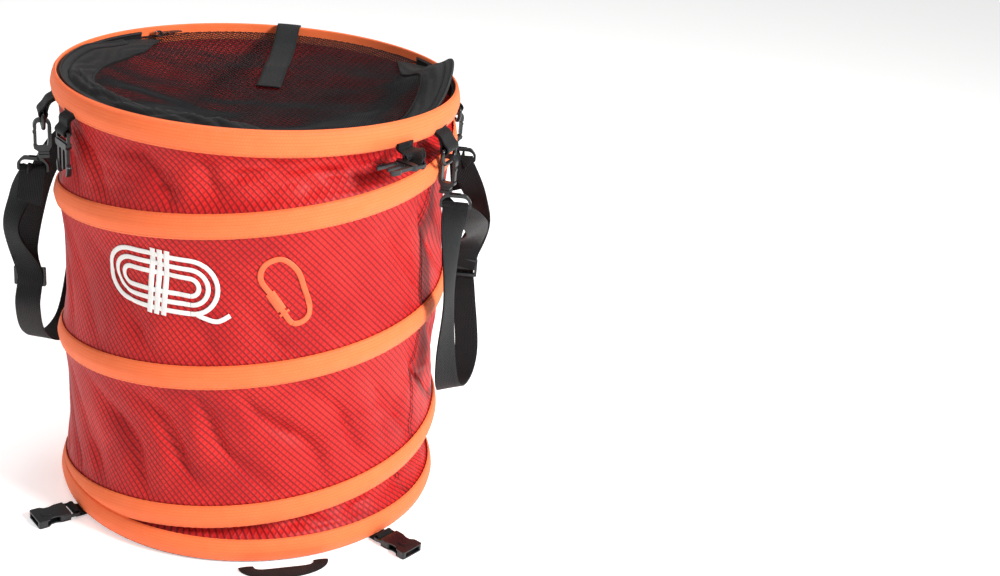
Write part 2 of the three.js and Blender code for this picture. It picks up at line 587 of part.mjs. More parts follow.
// ---- zipper slider and its pull, parked past the end of the zip ----
const ZIP_SLIDER_OUTER = ZIP_TAPE * Math.cos(rad(STEP_DEG / 2)) - 2 * GAP;
const ZIP_SLIDER_INNER = ZIP_SLIDER_OUTER - 8.5;
const ZIP_SLIDER_LOW = ZIP_LID_TOP + GAP;
const PULL_LEAN = 0.08;          // radians, so that the pull follows the curve of the zip
{
  const place = station(SLIDER_DEG, 0, ZIP_SLIDER_LOW);
  const body = block(ZIP_SLIDER_INNER, -5, 0, ZIP_SLIDER_OUTER, 5, 2.2);
  const middle = (ZIP_SLIDER_INNER + ZIP_SLIDER_OUTER) / 2;
  const bridge = outline(
    [[-4.4, 1.8], [4.4, 1.8], [4.4, 4.2], [3, 5.6], [-3, 5.6], [-4.4, 4.2]],
    [rectangle(-2.9, 2.3, 2.9, 4.5)],
  );
  const arch = turned(plate(bridge, 2.4), ROUND, UP, OUT).translate(middle, 0, 0);
  add(place, 'zip_slider', joined(body, arch), blackPlastic);
  const pull = outline(
    [[0.6, -1.9], [1.6, -2.9], [7, -3.4], [26, -3.4], [28, -2], [28, 2], [26, 3.4], [7, 3.4], [1.6, 2.9], [0.6, 1.9]],
    [rectangle(2.2, -2.3, 5.6, 2.3), rectangle(13, -1.6, 24, 1.6)],
  );
  const lying = plate(pull, 1).rotateZ(-Math.PI / 2 - PULL_LEAN).translate(middle, 0, 3.4);
  add(place, 'zip_pull', lying, blackPlastic);
}

// ---- rear strap: sewn behind the rim, over it, and lying on the lid with a free end ----
{
  const top = BAG_HEIGHT + GAP;
  const t = WEBBING_THICKNESS;
  const out = TAPE_OUTSIDE + GAP;
  const end = HINGE_Y + GAP;
  const lift = 4 * GAP;
  const lower = [
    [out, RIM_TAPE_BOTTOM + 2], [out, top], [INNER_LIMIT - 6, top],
    [MESH_RADIUS + 8, sag(MESH_RADIUS + 8) + 1.5 + lift], [end, sag(end) + lift],
  ];
  const upper = [
    [end, sag(end) + lift + t], [MESH_RADIUS + 8, sag(MESH_RADIUS + 8) + 1.5 + lift + t],
    [INNER_LIMIT - 6, top + t], [out + t, top + t], [out + t, RIM_TAPE_BOTTOM + 2],
  ];
  const shape = outline([...lower, ...upper].reverse());
  const place = new THREE.Group();
  bag.add(place);
  add(place, 'rear_strap', across(shape, WEBBING_WIDTH), blackWebbing);
  const start = HINGE_Y - GAP;
  const tip = start - 70;
  const flap = outline([
    [tip, sag(tip) + 2], [start, sag(start) + lift], [start, sag(start) + lift + t], [tip, sag(tip) + 2 + t],
  ]);
  add(place, 'rear_strap_end', across(flap, WEBBING_WIDTH), blackWebbing);
}

export default bag;
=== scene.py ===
# %% [markdown]
# # A collapsible rope storage bag
# Tree climbers keep a long rope loose in a round bag like this one. A coil of spring wire holds the
# cloth open, and three buckles hold the bag flat when it is folded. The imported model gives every
# size and every moving body. The looks are made around it: cloth, sewing, webbing and plastic.

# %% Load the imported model
import json
import math

import bmesh
import bpy
from mathutils import Matrix, Vector, noise


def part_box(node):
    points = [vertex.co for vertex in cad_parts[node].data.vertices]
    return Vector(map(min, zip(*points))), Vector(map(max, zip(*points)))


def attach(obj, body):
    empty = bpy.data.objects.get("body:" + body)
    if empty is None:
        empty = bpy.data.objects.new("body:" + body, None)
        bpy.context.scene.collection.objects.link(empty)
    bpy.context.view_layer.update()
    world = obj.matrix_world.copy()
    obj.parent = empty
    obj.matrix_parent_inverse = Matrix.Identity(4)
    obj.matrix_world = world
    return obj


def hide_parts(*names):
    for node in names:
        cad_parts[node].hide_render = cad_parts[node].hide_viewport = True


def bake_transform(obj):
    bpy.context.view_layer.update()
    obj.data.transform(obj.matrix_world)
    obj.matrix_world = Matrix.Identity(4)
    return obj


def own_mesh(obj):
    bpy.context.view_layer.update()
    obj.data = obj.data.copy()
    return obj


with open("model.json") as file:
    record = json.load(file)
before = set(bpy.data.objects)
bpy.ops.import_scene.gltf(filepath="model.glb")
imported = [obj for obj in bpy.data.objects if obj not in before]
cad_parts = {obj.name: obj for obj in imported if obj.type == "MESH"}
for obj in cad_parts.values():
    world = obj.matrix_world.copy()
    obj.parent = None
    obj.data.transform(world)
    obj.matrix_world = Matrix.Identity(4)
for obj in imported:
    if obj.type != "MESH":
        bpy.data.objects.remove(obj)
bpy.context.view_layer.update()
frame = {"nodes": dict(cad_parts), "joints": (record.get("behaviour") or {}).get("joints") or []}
joints = {joint["name"]: joint for joint in frame["joints"]}

# %% [markdown]
# ## The camera
# A camera can be aimed with a tracking constraint or with angles. Angles are used here, because the
# view leans over a little, and a constraint would straighten it.

# %% Camera
CAMERA_AT = Vector((0.2246, -1.4183, 0.8389))
CAMERA_YAW, CAMERA_PITCH, CAMERA_ROLL = 0.0239, -0.401, 0.097      # radians
LENS_MM = 52.54


def aim_camera():
    forward = Vector((
        math.sin(CAMERA_YAW) * math.cos(CAMERA_PITCH),
        math.cos(CAMERA_YAW) * math.cos(CAMERA_PITCH),
        math.sin(CAMERA_PITCH),
    ))
    level = Vector((math.cos(CAMERA_YAW), -math.sin(CAMERA_YAW), 0))
    upright = level.cross(forward)
    right = math.cos(CAMERA_ROLL) * level + math.sin(CAMERA_ROLL) * upright
    up = math.cos(CAMERA_ROLL) * upright - math.sin(CAMERA_ROLL) * level
    camera = bpy.data.objects.new("camera", bpy.data.cameras.new("camera"))
    camera.data.lens = LENS_MM
    turn = Matrix((right, up, -forward)).transposed().to_4x4()
    camera.matrix_world = Matrix.Translation(CAMERA_AT) @ turn
    bpy.context.scene.collection.objects.link(camera)
    bpy.context.scene.camera = camera
    return camera


aim_camera()
print("camera at", tuple(round(x, 3) for x in CAMERA_AT))

# %% [markdown]
# ## Sizes
# Heights and radii come from the boxes of the CAD nodes, so a changed bag would carry its looks
# along. Cloth thicknesses, stitches and folds are this file's own, in millimetres.

# %% Sizes
MM = 0.001
WALL_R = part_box("wall_fabric")[1].x              # outside of the wall cloth
WALL_LOW, WALL_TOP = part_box("wall_fabric")[0].z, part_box("wall_fabric")[1].z
RIM_LOW, RIM_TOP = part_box("rim_binding")[0].z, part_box("rim_binding")[1].z
BASE_LOW, BASE_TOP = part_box("base_binding")[0].z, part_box("base_binding")[1].z
TAPE_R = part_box("rim_binding")[1].x              # crown of the casing tapes
TAPE_WIDTH = RIM_TOP - RIM_LOW
TAPE_INSIDE = WALL_R + 0.3 * MM
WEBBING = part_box("rear_strap")[1].x * 2          # width of the wide webbing
WEBBING_THICKNESS = 1.6 * MM
COIL_PITCH = 152 * MM                            # one turn of the spring wire
COIL_MARK_DEG, COIL_MARK_Z = -81, 56 * MM        # the coil passes this height at this azimuth
COIL_WIRE_DEG = (-110, 730)
COIL_TAPE_DEG = (-175, 815)                      # the tape runs on, under the base and rim tapes
LID_EDGE_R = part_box("zip_lid_tape")[1].x         # where the lid meets the zip
LID_EDGE_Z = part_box("zip_lid_tape")[1].z - 0.8 * MM
NET_DIP = 17 * MM                                # the net's middle lies this far below its edge
LID_SAG = LID_EDGE_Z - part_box("lid_mesh")[1].z + NET_DIP
NET_R = 159.7 * MM                               # the net's edge under the border
BORDER_R = LID_EDGE_R - 9 * MM                   # the border's edge under the zip tape
INNER_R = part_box("base_panel")[1].x
HINGE_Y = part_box("lid_back_panel")[0].y          # the lid is sewn down behind this line
print("wall radius, rim, hinge line mm:", [round(1000 * size, 1) for size in (WALL_R, RIM_TOP, HINGE_Y)])


def at(azimuth, radius, z):
    """A point on the bag from its azimuth in degrees, its radius and its height."""
    angle = math.radians(azimuth)
    return Vector((radius * math.cos(angle), radius * math.sin(angle), z))


def azimuth_of(point):
    return math.degrees(math.atan2(point[1], point[0]))


def smooth(low, high, value):
    """0 below low, 1 above high, and an even ease between them."""
    share = min(max((value - low) / (high - low), 0), 1)
    return share * share * (3 - 2 * share)


# %% [markdown]
# ## Finishes
# Each finish starts from what the real one is. Woven patterns follow the cloth through a UV map in
# metres, which is laid with the cloth, so a weave of 2 mm stays 2 mm wherever the cloth goes.
# Moulded parts read Object coordinates instead, because they have no grain.

# %% Colours and the one node helper


def linear(colour):
    """An sRGB hex colour as the linear numbers that the shaders take."""
    channels = [int(colour[i:i + 2], 16) / 255 for i in (1, 3, 5)]
    return [*(c / 12.92 if c <= 0.04045 else ((c + 0.055) / 1.055) ** 2.4 for c in channels), 1]


def add(tree, kind, wires=None, **settings):
    """Adds a node with its settings, and wires each named input to a socket or sets its value."""
    node = tree.nodes.new("ShaderNode" + kind)
    for name, value in settings.items():
        setattr(node, name, value)
    for name, value in (wires or {}).items():
        if isinstance(value, bpy.types.NodeSocket):
            tree.links.new(value, node.inputs[name])
        else:
            node.inputs[name].default_value = value
    return node


def new_finish(name, roughness, **sockets):
    """A material whose shader has these fixed values; its pattern is wired in afterwards."""
    finish = bpy.data.materials.new(name)
    finish.use_nodes = True
    shader = finish.node_tree.nodes["Principled BSDF"]
    shader.inputs["Roughness"].default_value = roughness
    for socket, value in sockets.items():
        shader.inputs[socket.replace("_", " ")].default_value = value
    return finish, finish.node_tree, shader


def mixed(tree, share, first, second):
    """The colour between two others, at a share that a pattern gives."""
    first, second = (c if isinstance(c, bpy.types.NodeSocket) else linear(c) for c in (first, second))
    # The Mix node has a pair of inputs for each data type, and 6 and 7 are the colours.
    return add(tree, "Mix", {"Factor": share, 6: first, 7: second}, data_type="RGBA").outputs[2]


def embossed(tree, shader, height, depth_mm):
    """Sends a height pattern to the shader's normal."""
    bump = add(tree, "Bump", {"Height": height, "Distance": depth_mm * MM, "Strength": 1.0})
    tree.links.new(bump.outputs["Normal"], shader.inputs["Normal"])


# %% [markdown]
# ### Red ripstop
# Coated nylon with a thick thread every few millimetres, cut on the bias, so that its squares
# stand on their points. The thick threads read as dark lines, one family stronger than the other.

# %% Ripstop
RIPSTOP_MM = 5.0                # from one thick thread to the next
LINE_FULL, LINE_GONE = 0.06, 0.24      # how far a line's dark core and its edge reach, in spacings


def ripstop():
    finish, tree, shader = new_finish("red_coated_ripstop_woven", 0.5, Specular_IOR_Level=0.22)
    cloth = add(tree, "UVMap", uv_map="cloth").outputs["UV"]
    squares = add(tree, "Mapping", {
        "Vector": cloth, "Rotation": (0, 0, math.radians(45)), "Scale": (1000 / RIPSTOP_MM,) * 3,
    })
    axes = add(tree, "SeparateXYZ", {"Vector": squares.outputs[0]})
    lines = []
    for axis, strength in (("X", 0.42), ("Y", 0.8)):
        away = add(tree, "Math", {0: axes.outputs[axis], 1: 0.5}, operation="PINGPONG")
        line = add(tree, "MapRange", {
            "Value": away.outputs[0], "From Min": LINE_FULL, "From Max": LINE_GONE,
            "To Min": strength, "To Max": 0.0,
        }, interpolation_type="SMOOTHSTEP")
        lines.append(line.outputs[0])
    both = add(tree, "Math", {0: lines[0], 1: lines[1]}, operation="MAXIMUM")
    cloudy = add(tree, "TexNoise", {"Vector": cloth, "Scale": 14.0, "Detail": 4.0})
    spread = add(tree, "MapRange", {"Value": cloudy.outputs[0], "From Min": 0.35, "From Max": 0.65})
    ground = mixed(tree, spread.outputs[0], "#b81517", "#d52622")
    tree.links.new(mixed(tree, both.outputs[0], ground, "#640c10"), shader.inputs["Base Color"])
    embossed(tree, shader, both.outputs[0], 0.5)
    return finish


red_ripstop = ripstop()
print("ripstop:", len(red_ripstop.node_tree.nodes), "nodes")

# %% [markdown]
# ### Woven tapes, webbing and plain cloth
# All are plain weaves at different scales: a grid of thread crossings, each a small pillow, offset
# from row to row as bricks are. A brick texture with soft joints draws exactly that.

# %% Woven finishes


def woven(name, light, dark, thread_mm, row_mm, depth_mm, roughness, sheen):
    """A plain weave. thread_mm runs along the cloth and row_mm across it."""
    finish, tree, shader = new_finish(
        name, roughness, Sheen_Weight=sheen, Sheen_Roughness=0.45, Specular_IOR_Level=0.22,
    )
    cloth = add(tree, "UVMap", uv_map="cloth").outputs["UV"]
    in_mm = add(tree, "Mapping", {"Vector": cloth, "Scale": (1000, 1000, 1000)}).outputs[0]
    crossings = add(tree, "TexBrick", {
        "Vector": in_mm, "Scale": 1.0, "Mortar Size": min(thread_mm, row_mm) * 0.3, "Mortar Smooth": 1.0,
        "Brick Width": thread_mm, "Row Height": row_mm,
    })
    uneven = add(tree, "TexNoise", {"Vector": in_mm, "Scale": 0.06, "Detail": 5.0, "Roughness": 0.6})
    shade = add(tree, "MapRange", {
        "Value": uneven.outputs[0], "From Min": 0.3, "From Max": 0.7, "To Max": 0.45,
    })
    joint = crossings.outputs["Fac"]
    groove = add(tree, "Math", {0: joint, 1: shade.outputs[0]}, operation="MAXIMUM")
    tree.links.new(mixed(tree, groove.outputs[0], light, dark), shader.inputs["Base Color"])
    raised = add(tree, "Math", {0: 1.0, 1: joint}, operation="SUBTRACT")
    embossed(tree, shader, raised.outputs[0], depth_mm)
    return finish


# Thread sizes of the finest weaves are drawn coarser than the real ones, so that they show.
orange_tape = woven("orange_polyester_tape_woven", "#fa7f4b", "#f0642f", 1.2, 3.0, 0.12, 0.6, 0.08)
black_webbing = woven("black_polypropylene_webbing_woven", "#131517", "#050607", 2.4, 1.7, 0.35, 0.6, 0.04)
black_cloth = woven("black_polyester_cloth_woven", "#171516", "#0a090a", 1.0, 1.0, 0.10, 0.6, 0.03)
zip_tape = woven("black_zip_tape_knitted", "#161517", "#08080a", 0.9, 1.6, 0.15, 0.66, 0.05)
print("woven finishes:", orange_tape.name, black_webbing.name, black_cloth.name, zip_tape.name)

# %% [markdown]
# ### Thread, net, ink, plastic and metal
# These have no laid grain. A fine noise in Object coordinates breaks their gloss and colour.

# %% Grainy finishes


def grainy(name, light, dark, grain_mm, depth_mm, roughness, spread=0.08, **sockets):
    """An even finish whose colour, gloss and surface vary over grain_mm."""
    finish, tree, shader = new_finish(name, roughness, **sockets)
    place = add(tree, "TexCoord").outputs["Object"]
    grain = add(tree, "TexNoise", {"Vector": place, "Scale": 1000 / grain_mm, "Detail": 3.0}).outputs[0]
    worn = add(tree, "TexNoise", {"Vector": place, "Scale": 45.0, "Detail": 5.0}).outputs[0]
    tree.links.new(mixed(tree, worn, light, dark), shader.inputs["Base Color"])
    gloss = add(tree, "MapRange", {
        "Value": worn, "From Min": 0.3, "From Max": 0.7,
        "To Min": roughness - spread, "To Max": roughness + spread,
    })
    tree.links.new(gloss.outputs[0], shader.inputs["Roughness"])
    embossed(tree, shader, grain, depth_mm)
    return finish


net_thread = grainy(
    "black_polyester_net_knitted", "#111013", "#08070a", 0.9, 0.08, 0.5, Specular_IOR_Level=0.25,
)
orange_thread = grainy("orange_bonded_thread_twisted", "#f8804c", "#e45a2b", 0.8, 0.06, 0.5)
black_thread = grainy("black_bonded_thread_twisted", "#1b1b1d", "#0c0c0d", 0.8, 0.06, 0.5)
acetal = grainy("black_acetal_moulded", "#14181c", "#0b0e10", 0.7, 0.02, 0.3, Specular_IOR_Level=0.5)
zinc = grainy("black_zinc_alloy_lacquered", "#1b1c1f", "#0f1012", 1.2, 0.02, 0.28, Coat_Weight=0.5)
steel = grainy("spring_steel_drawn", "#a3a5a8", "#7e8083", 0.5, 0.01, 0.32, Metallic=1.0)
white_ink = grainy("white_ink_screen_printed", "#f4f2ef", "#dedad6", 1.0, 0.05, 0.55)
orange_ink = grainy("orange_ink_screen_printed", "#f7693a", "#e4562a", 1.0, 0.05, 0.55)
print("grainy finishes:", [m.name for m in (net_thread, acetal, zinc, steel, white_ink)])

# %% [markdown]
# ## Laying cloth
# Flat cloth is a grid of quads. `lay` takes that grid and moves each point to where the cloth goes,
# so the UV map stays the flat cut. A modifier gives the thickness afterwards. Cloth simulation was
# the other way; the wall is stretched between wires and hardly hangs, so it is shaped directly.

# %% Grid, thickness and placing helpers


def lay(along, across, steps_along, steps_across, place, bm=None):
    """Cloth of this flat size in metres, each point moved to place(u, v)."""
    bm = bm or bmesh.new()
    cloth = bm.loops.layers.uv.get("cloth") or bm.loops.layers.uv.new("cloth")
    made = bmesh.ops.create_grid(bm, x_segments=steps_along, y_segments=steps_across, size=0.5)["verts"]
    reach = max(vert.co.x for vert in made)
    for face in {face for vert in made for face in vert.link_faces}:
        for loop in face.loops:
            flat = loop.vert.co / reach / 2 + Vector((0.5, 0.5, 0))
            loop[cloth].uv = (flat.x * along, flat.y * across)
    for vert in made:
        flat = vert.co / reach / 2 + Vector((0.5, 0.5, 0))
        vert.co = place(flat.x * along, flat.y * across)
    return bm


def weld(bm):
    """Closes the seam of cloth that comes back to itself."""
    bmesh.ops.remove_doubles(bm, verts=bm.verts, dist=0.01 * MM)
    return bm


def finished(name, bm, finish):
    """The mesh as a smooth-shaded object at the origin."""
    mesh = bpy.data.meshes.new(name)
    bm.to_mesh(mesh)
    bm.free()
    mesh.materials.append(finish)
    mesh.shade_smooth()
    piece = bpy.data.objects.new(name, mesh)
    bpy.context.scene.collection.objects.link(piece)
    return piece


def thicken(piece, thickness, side=-1):
    """Gives cloth its thickness; side -1 grows it inwards and 0 both ways."""
    layer = piece.modifiers.new("cloth thickness", "SOLIDIFY")
    layer.thickness, layer.offset = thickness, side
    return piece


def hold(piece, body, slot, *replaced):
    """The piece rides on a body and stands for CAD nodes, which it hides. slot is not used."""
    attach(piece, body)
    if replaced:
        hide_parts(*replaced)
    return piece


def fold_flat(piece):
    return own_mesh(piece)


# %% [markdown]
# ## Rods and threads
# Wires, rings, threads and piping are round sections run along a path. A curve with a bevel would
# do it too, but this way a stitch can pinch its thread, and the faces stay few and even.

# %% Rod helper


def rod(path, radius, sides=8, closed=False, bm=None, flat=1.0, upright=Vector((0, 0, 1))):
    """A round bar along path. radius is a number, or a function of the path's index."""
    bm = bm or bmesh.new()
    count = len(path)
    ends = [path[-1], *path, path[0]] if closed else [path[0], *path, path[-1]]
    frames = []
    for i in range(count):
        forward = (ends[i + 2] - ends[i]).normalized()
        side = forward.cross(upright)
        if side.length <= 0.05:                  # the path runs along upright here
            side = forward.cross(Vector((0.9, 0.3, 0.1)))
        side.normalize()
        frames.append((path[i], side, side.cross(forward)))
    steps = count if closed else count - 1
    size = radius if callable(radius) else lambda i: radius

    def place(u, v):
        i = round(u * steps) % count if closed else round(u * steps)
        centre, side, up = frames[i]
        turn = 2 * math.pi * v
        return centre + size(i) * (math.cos(turn) * side + flat * math.sin(turn) * up)

    before = set(bm.verts)
    lay(1, 1, steps, sides, place, bm)
    made = [vert for vert in bm.verts if vert not in before]
    bmesh.ops.remove_doubles(bm, verts=made, dist=0.002 * MM)
    if not closed:
        open_edges = [e for e in bm.edges if e.is_boundary and e.verts[0] not in before]
        bmesh.ops.holes_fill(bm, edges=open_edges, sides=0)
    return bm


def stitches(bm, point_at, length, period=4.0 * MM, radius=0.42 * MM):
    """A row of stitches: a thread that pinches and dips into the cloth once every period."""
    steps = round(length / period) * 4
    path = [point_at(length * i / steps, abs(math.cos(math.pi * i / 4))) for i in range(steps + 1)]
    return rod(path, lambda i: radius * (0.35 + 0.65 * abs(math.cos(math.pi * i / 4))), 5, bm=bm)


# %% [markdown]
# ## The wall
# The wall is one strip of ripstop, sewn to a tube. The wire tapes hold it out, and between them it
# is drawn in and creased, because the coil twists a little as it opens. The creases run down to
# the right, across the wall. Where the coil comes close to the base, the spare cloth crumples.

# %% Where the wall lies


def coil_height(azimuth):
    return COIL_MARK_Z + COIL_PITCH * (azimuth - COIL_MARK_DEG) / 360


def free_span(azimuth, z):
    """The edges of the tapes below and above a point of the wall."""
    turns = [azimuth + 360 * k for k in range(-1, 4)]
    coil = [coil_height(turn) for turn in turns if COIL_TAPE_DEG[0] <= turn <= COIL_TAPE_DEG[1]]
    half = TAPE_WIDTH / 2
    tapes = sorted([BASE_LOW + half, *coil, RIM_LOW + half])
    below = max((tape + half for tape in tapes if tape <= z), default=WALL_LOW)
    above = min((tape - half for tape in tapes if tape > z), default=RIM_LOW)
    return below, above


CREASES_ROUND = 19          # creases met on the way round, a whole number so that they close
CREASE_SLOPE = math.radians(51)
CREASE_DEPTH, FINE_CREASE_DEPTH = 11 * MM, 1.6 * MM
DRAWN_IN, DRAWN_IN_CLOSE = 5 * MM, 13 * MM      # between tapes, and where two tapes come close
DRAWN_SPAN = 110 * MM        # the cloth is fully drawn in across this height
CLOSE_SPAN = (35 * MM, 85 * MM)                 # tapes are close below the first of these heights
CRUMPLE_DEPTH = 9 * MM
PRINT_FLATNESS = 0.65        # how far the cloth is held flat round the printed sign
PRINT_LOW, PRINT_HIGH = (232 * MM, 256 * MM), (326 * MM, 350 * MM)
PRINT_MIDDLE_DEG, PRINT_REACH_DEG = -92, (34, 48)


def wall_radius(azimuth, z):
    """Outside of the cloth at a point of the wall."""
    below, above = free_span(azimuth, z)
    if not below < z < above:
        return WALL_R - 0.3 * MM
    height = above - below
    share = (z - below) / height
    hold_in = math.sin(math.pi * share)
    round_it = math.radians(azimuth) * WALL_R
    spot = at(azimuth, 1, z / WALL_R)
    phase = (round_it + z / math.tan(CREASE_SLOPE)) * CREASES_ROUND / (2 * math.pi * WALL_R)
    phase += 0.4 * noise.noise(spot * 2.3)
    strength = smooth(-0.35, 0.3, noise.noise(spot * 1.7 + Vector((5, 2, 1))))
    ridge = abs(math.sin(math.pi * phase)) ** 0.7 - 0.85
    fine = abs(math.sin(math.pi * phase * 2.0 + 2 * noise.noise(spot * 5))) - 0.6
    crease = (CREASE_DEPTH * ridge + FINE_CREASE_DEPTH * fine) * (0.3 + 0.7 * strength)
    crumple = CRUMPLE_DEPTH * noise.noise(Vector((spot.x * 7, spot.y * 7, spot.z * 24)))
    close = 1 - smooth(*CLOSE_SPAN, height)
    printed = smooth(*PRINT_LOW, z) * (1 - smooth(*PRINT_HIGH, z))
    printed *= 1 - smooth(*PRINT_REACH_DEG, abs((azimuth - PRINT_MIDDLE_DEG + 180) % 360 - 180))
    crease *= (1 - 0.7 * close) * (1 - PRINT_FLATNESS * printed)
    drawn = DRAWN_IN * min(height / DRAWN_SPAN, 1) + DRAWN_IN_CLOSE * close
    return WALL_R - 0.3 * MM + hold_in ** 0.7 * (crease + close * crumple - drawn)


print("wall radius in front at half height:", round(1000 * wall_radius(-81, 0.13), 1), "mm")

# %% Wall cloth
WALL_LENGTH = 2 * math.pi * WALL_R
WALL_STEPS = (330, 116)


def wall_point(u, v):
    azimuth = math.degrees(u / WALL_R) - 180
    z = WALL_LOW + v
    return at(azimuth, wall_radius(azimuth, z), z)


wall_bm = weld(lay(WALL_LENGTH, WALL_TOP - WALL_LOW, *WALL_STEPS, wall_point))
wall = finished("wall_cloth", wall_bm, red_ripstop)
thicken(wall, 0.7 * MM)
hold(wall, "base", "red_ripstop", "wall_fabric")
fold_flat(wall)
print("wall cloth:", len(wall.data.polygons), "quads")

# %% [markdown]
# ## The casing tapes
# Each wire runs in a folded tape, sewn down along both edges. The tape bulges over its wire, lies
# flat at the stitching, and puckers a little between stitches. The coil's tape runs on under the
# base tape and the rim tape, where it flattens out.

# %% Casing tapes and their stitching
TAPE_STEP_DEG = 1.2
STITCH_LINE = TAPE_WIDTH / 2 - 2.2 * MM


def tape_radius(azimuth, across, tucked):
    """Outside of a casing tape; tucked is 1 where the tape runs under another one."""
    share = across / (TAPE_WIDTH / 2)
    crown = TAPE_R - TAPE_INSIDE - 1.1 * MM
    bulge = crown * (1 - abs(share) ** 2.4) + 0.5 * MM * math.exp(-(across / (2.2 * MM)) ** 2)
    round_it = math.radians(azimuth) * WALL_R
    pucker = 0.3 * MM * math.sin(2 * math.pi * round_it / (9 * MM)) * share ** 4
    sway = 0.5 * MM * noise.noise(at(azimuth, 3, across * 20))
    return TAPE_INSIDE + 0.5 * MM + (bulge + pucker + sway * (1 - share * share)) * (1 - tucked)


def make_casing(name, start, end, height_at, body, node, tucked_at=lambda z: 0.0, sewn=None):
    """A casing tape from one azimuth to another, with stitches along both edges where it is sewn."""
    length = WALL_R * math.radians(end - start)
    steps = round((end - start) / TAPE_STEP_DEG)

    def point(u, v, lift=0.0):
        azimuth = start + math.degrees(u / WALL_R)
        across = v - TAPE_WIDTH / 2
        z = height_at(azimuth) + across
        return at(azimuth, tape_radius(azimuth, across, tucked_at(z)) + lift, z)

    tape = finished(name, weld(lay(length, TAPE_WIDTH, steps, 14, point)), orange_tape)
    thicken(tape, 0.6 * MM)
    hold(tape, body, "orange_tape", node)
    sewn_start, sewn_end = sewn or (start, end)
    skipped = WALL_R * math.radians(sewn_start - start)
    row_length = WALL_R * math.radians(sewn_end - sewn_start)
    rows = bmesh.new()
    for line in (TAPE_WIDTH / 2 - STITCH_LINE, TAPE_WIDTH / 2 + STITCH_LINE):
        stitches(
            rows, lambda u, up, line=line: point(skipped + u, line, (0.35 * up - 0.25) * MM), row_length,
        )
    thread = finished(name + "_stitching", rows, orange_thread)
    hold(thread, body, "orange_tape")
    return tape, thread


def tucked_coil(z):
    """1 where the coil's tape runs under the base tape or the rim tape."""
    under_base = 1 - smooth(BASE_TOP - 1 * MM, BASE_TOP + 7 * MM, z)
    under_rim = smooth(RIM_LOW - 7 * MM, RIM_LOW + 1 * MM, z)
    return max(under_base, under_rim)


RIM_FOLD = 2.2 * MM           # the rim tape goes over the wall's edge
RIM_INSIDE = 17 * MM          # and down again inside


def rim_inside_point(u, v):
    """The part of the rim tape that is folded over the edge and down the inside of the wall."""
    azimuth = -180 + math.degrees(u / WALL_R)
    outer, inner = TAPE_INSIDE + 0.3 * MM, INNER_R + 0.75 * MM
    if v < RIM_FOLD:
        turn = math.pi * v / RIM_FOLD
        middle, half = (outer + inner) / 2, (outer - inner) / 2
        return at(azimuth, middle + half * math.cos(turn), RIM_TOP - 0.6 * MM + 1.2 * MM * math.sin(turn))
    return at(azimuth, inner, RIM_TOP - 0.6 * MM - (v - RIM_FOLD))


rim_inside_bm = weld(lay(WALL_R * 2 * math.pi, RIM_FOLD + RIM_INSIDE, 300, 20, rim_inside_point))
rim_inside = finished("rim_casing_inside", rim_inside_bm, orange_tape)
thicken(rim_inside, 0.35 * MM)
hold(rim_inside, "top", "orange_tape")
half_tape = TAPE_WIDTH / 2
make_casing("base_casing", -180, 180, lambda azimuth: BASE_LOW + half_tape, "base", "base_binding")
make_casing("rim_casing", -180, 180, lambda azimuth: RIM_LOW + half_tape, "top", "rim_binding")
coil_pieces = make_casing(
    "coil_casing", *COIL_TAPE_DEG, coil_height, "base", "coil_binding", tucked_coil, sewn=COIL_WIRE_DEG,
)
for coil_piece in coil_pieces:
    fold_flat(coil_piece)
print("coil tape:", round(math.radians(COIL_TAPE_DEG[1] - COIL_TAPE_DEG[0]) * WALL_R, 2), "m long")

# %% Spring wire of the coil
WIRE_HALF = 1.25 * MM            # radius of the wire itself
WIRE_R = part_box("coil_wire")[1].x - WIRE_HALF
wire_turns = range(COIL_WIRE_DEG[0], COIL_WIRE_DEG[1] + 1, 4)
wire_path = [at(turn, WIRE_R, coil_height(turn)) for turn in wire_turns]
coil_steel = finished("coil_spring_wire", rod(wire_path, WIRE_HALF, 8), steel)
hold(coil_steel, "base", "spring_steel", "coil_wire")
fold_flat(coil_steel)
for ring_wire in ("base_ring_wire", "rim_ring_wire"):
    frame["nodes"][ring_wire].data.materials.clear()
    frame["nodes"][ring_wire].data.materials.append(steel)
print("spring wire:", len(wire_path), "steps")

# %% [markdown]
# ## Side seam and base
# The wall's two ends meet at one seam: a strip of webbing inside, and a raised, stitched edge
# outside. The base is a disc of stiffened cloth, made by spinning its section round the axis.

# %% Side seam
SEAM_DEG = azimuth_of([sum(pair) / 2 for pair in zip(*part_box("side_seam_tape"))])
SEAM_WIDTH = 12 * MM
SEAM_HEIGHT = RIM_LOW - WALL_LOW


def seam_point(u, v, inward=-2.6 * MM):
    azimuth = SEAM_DEG + math.degrees((v - SEAM_WIDTH / 2) / WALL_R)
    z = WALL_LOW + u
    return at(azimuth, wall_radius(azimuth, z) + inward, z)


seam = finished("side_seam", lay(SEAM_HEIGHT, SEAM_WIDTH, 110, 4, seam_point), black_webbing)
thicken(seam, 0.8 * MM)
hold(seam, "base", "black_webbing", "side_seam_tape")
fold_flat(seam)
seam_thread = bmesh.new()
for line in (SEAM_WIDTH / 2 - 2 * MM, SEAM_WIDTH / 2 + 2 * MM):
    stitches(seam_thread, lambda u, up, line=line: seam_point(u, line, 0.3 * up * MM), SEAM_HEIGHT)
seam_stitching = finished("side_seam_stitching", seam_thread, black_thread)
hold(seam_stitching, "base", "black_webbing")
fold_flat(seam_stitching)
print("side seam at azimuth", round(SEAM_DEG, 1))

# %% Base panel
BASE_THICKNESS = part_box("base_panel")[1].z


def base_point(u, v):
    """Rings of the base from the middle out; v is the radius."""
    azimuth = math.degrees(u / INNER_R)
    ripple = 0.35 * MM * math.sin(math.radians(azimuth) * 3 + v * 60) * smooth(20 * MM, 120 * MM, v)
    return at(azimuth, max(v, 0.001 * MM), BASE_THICKNESS + ripple - 0.4 * MM)


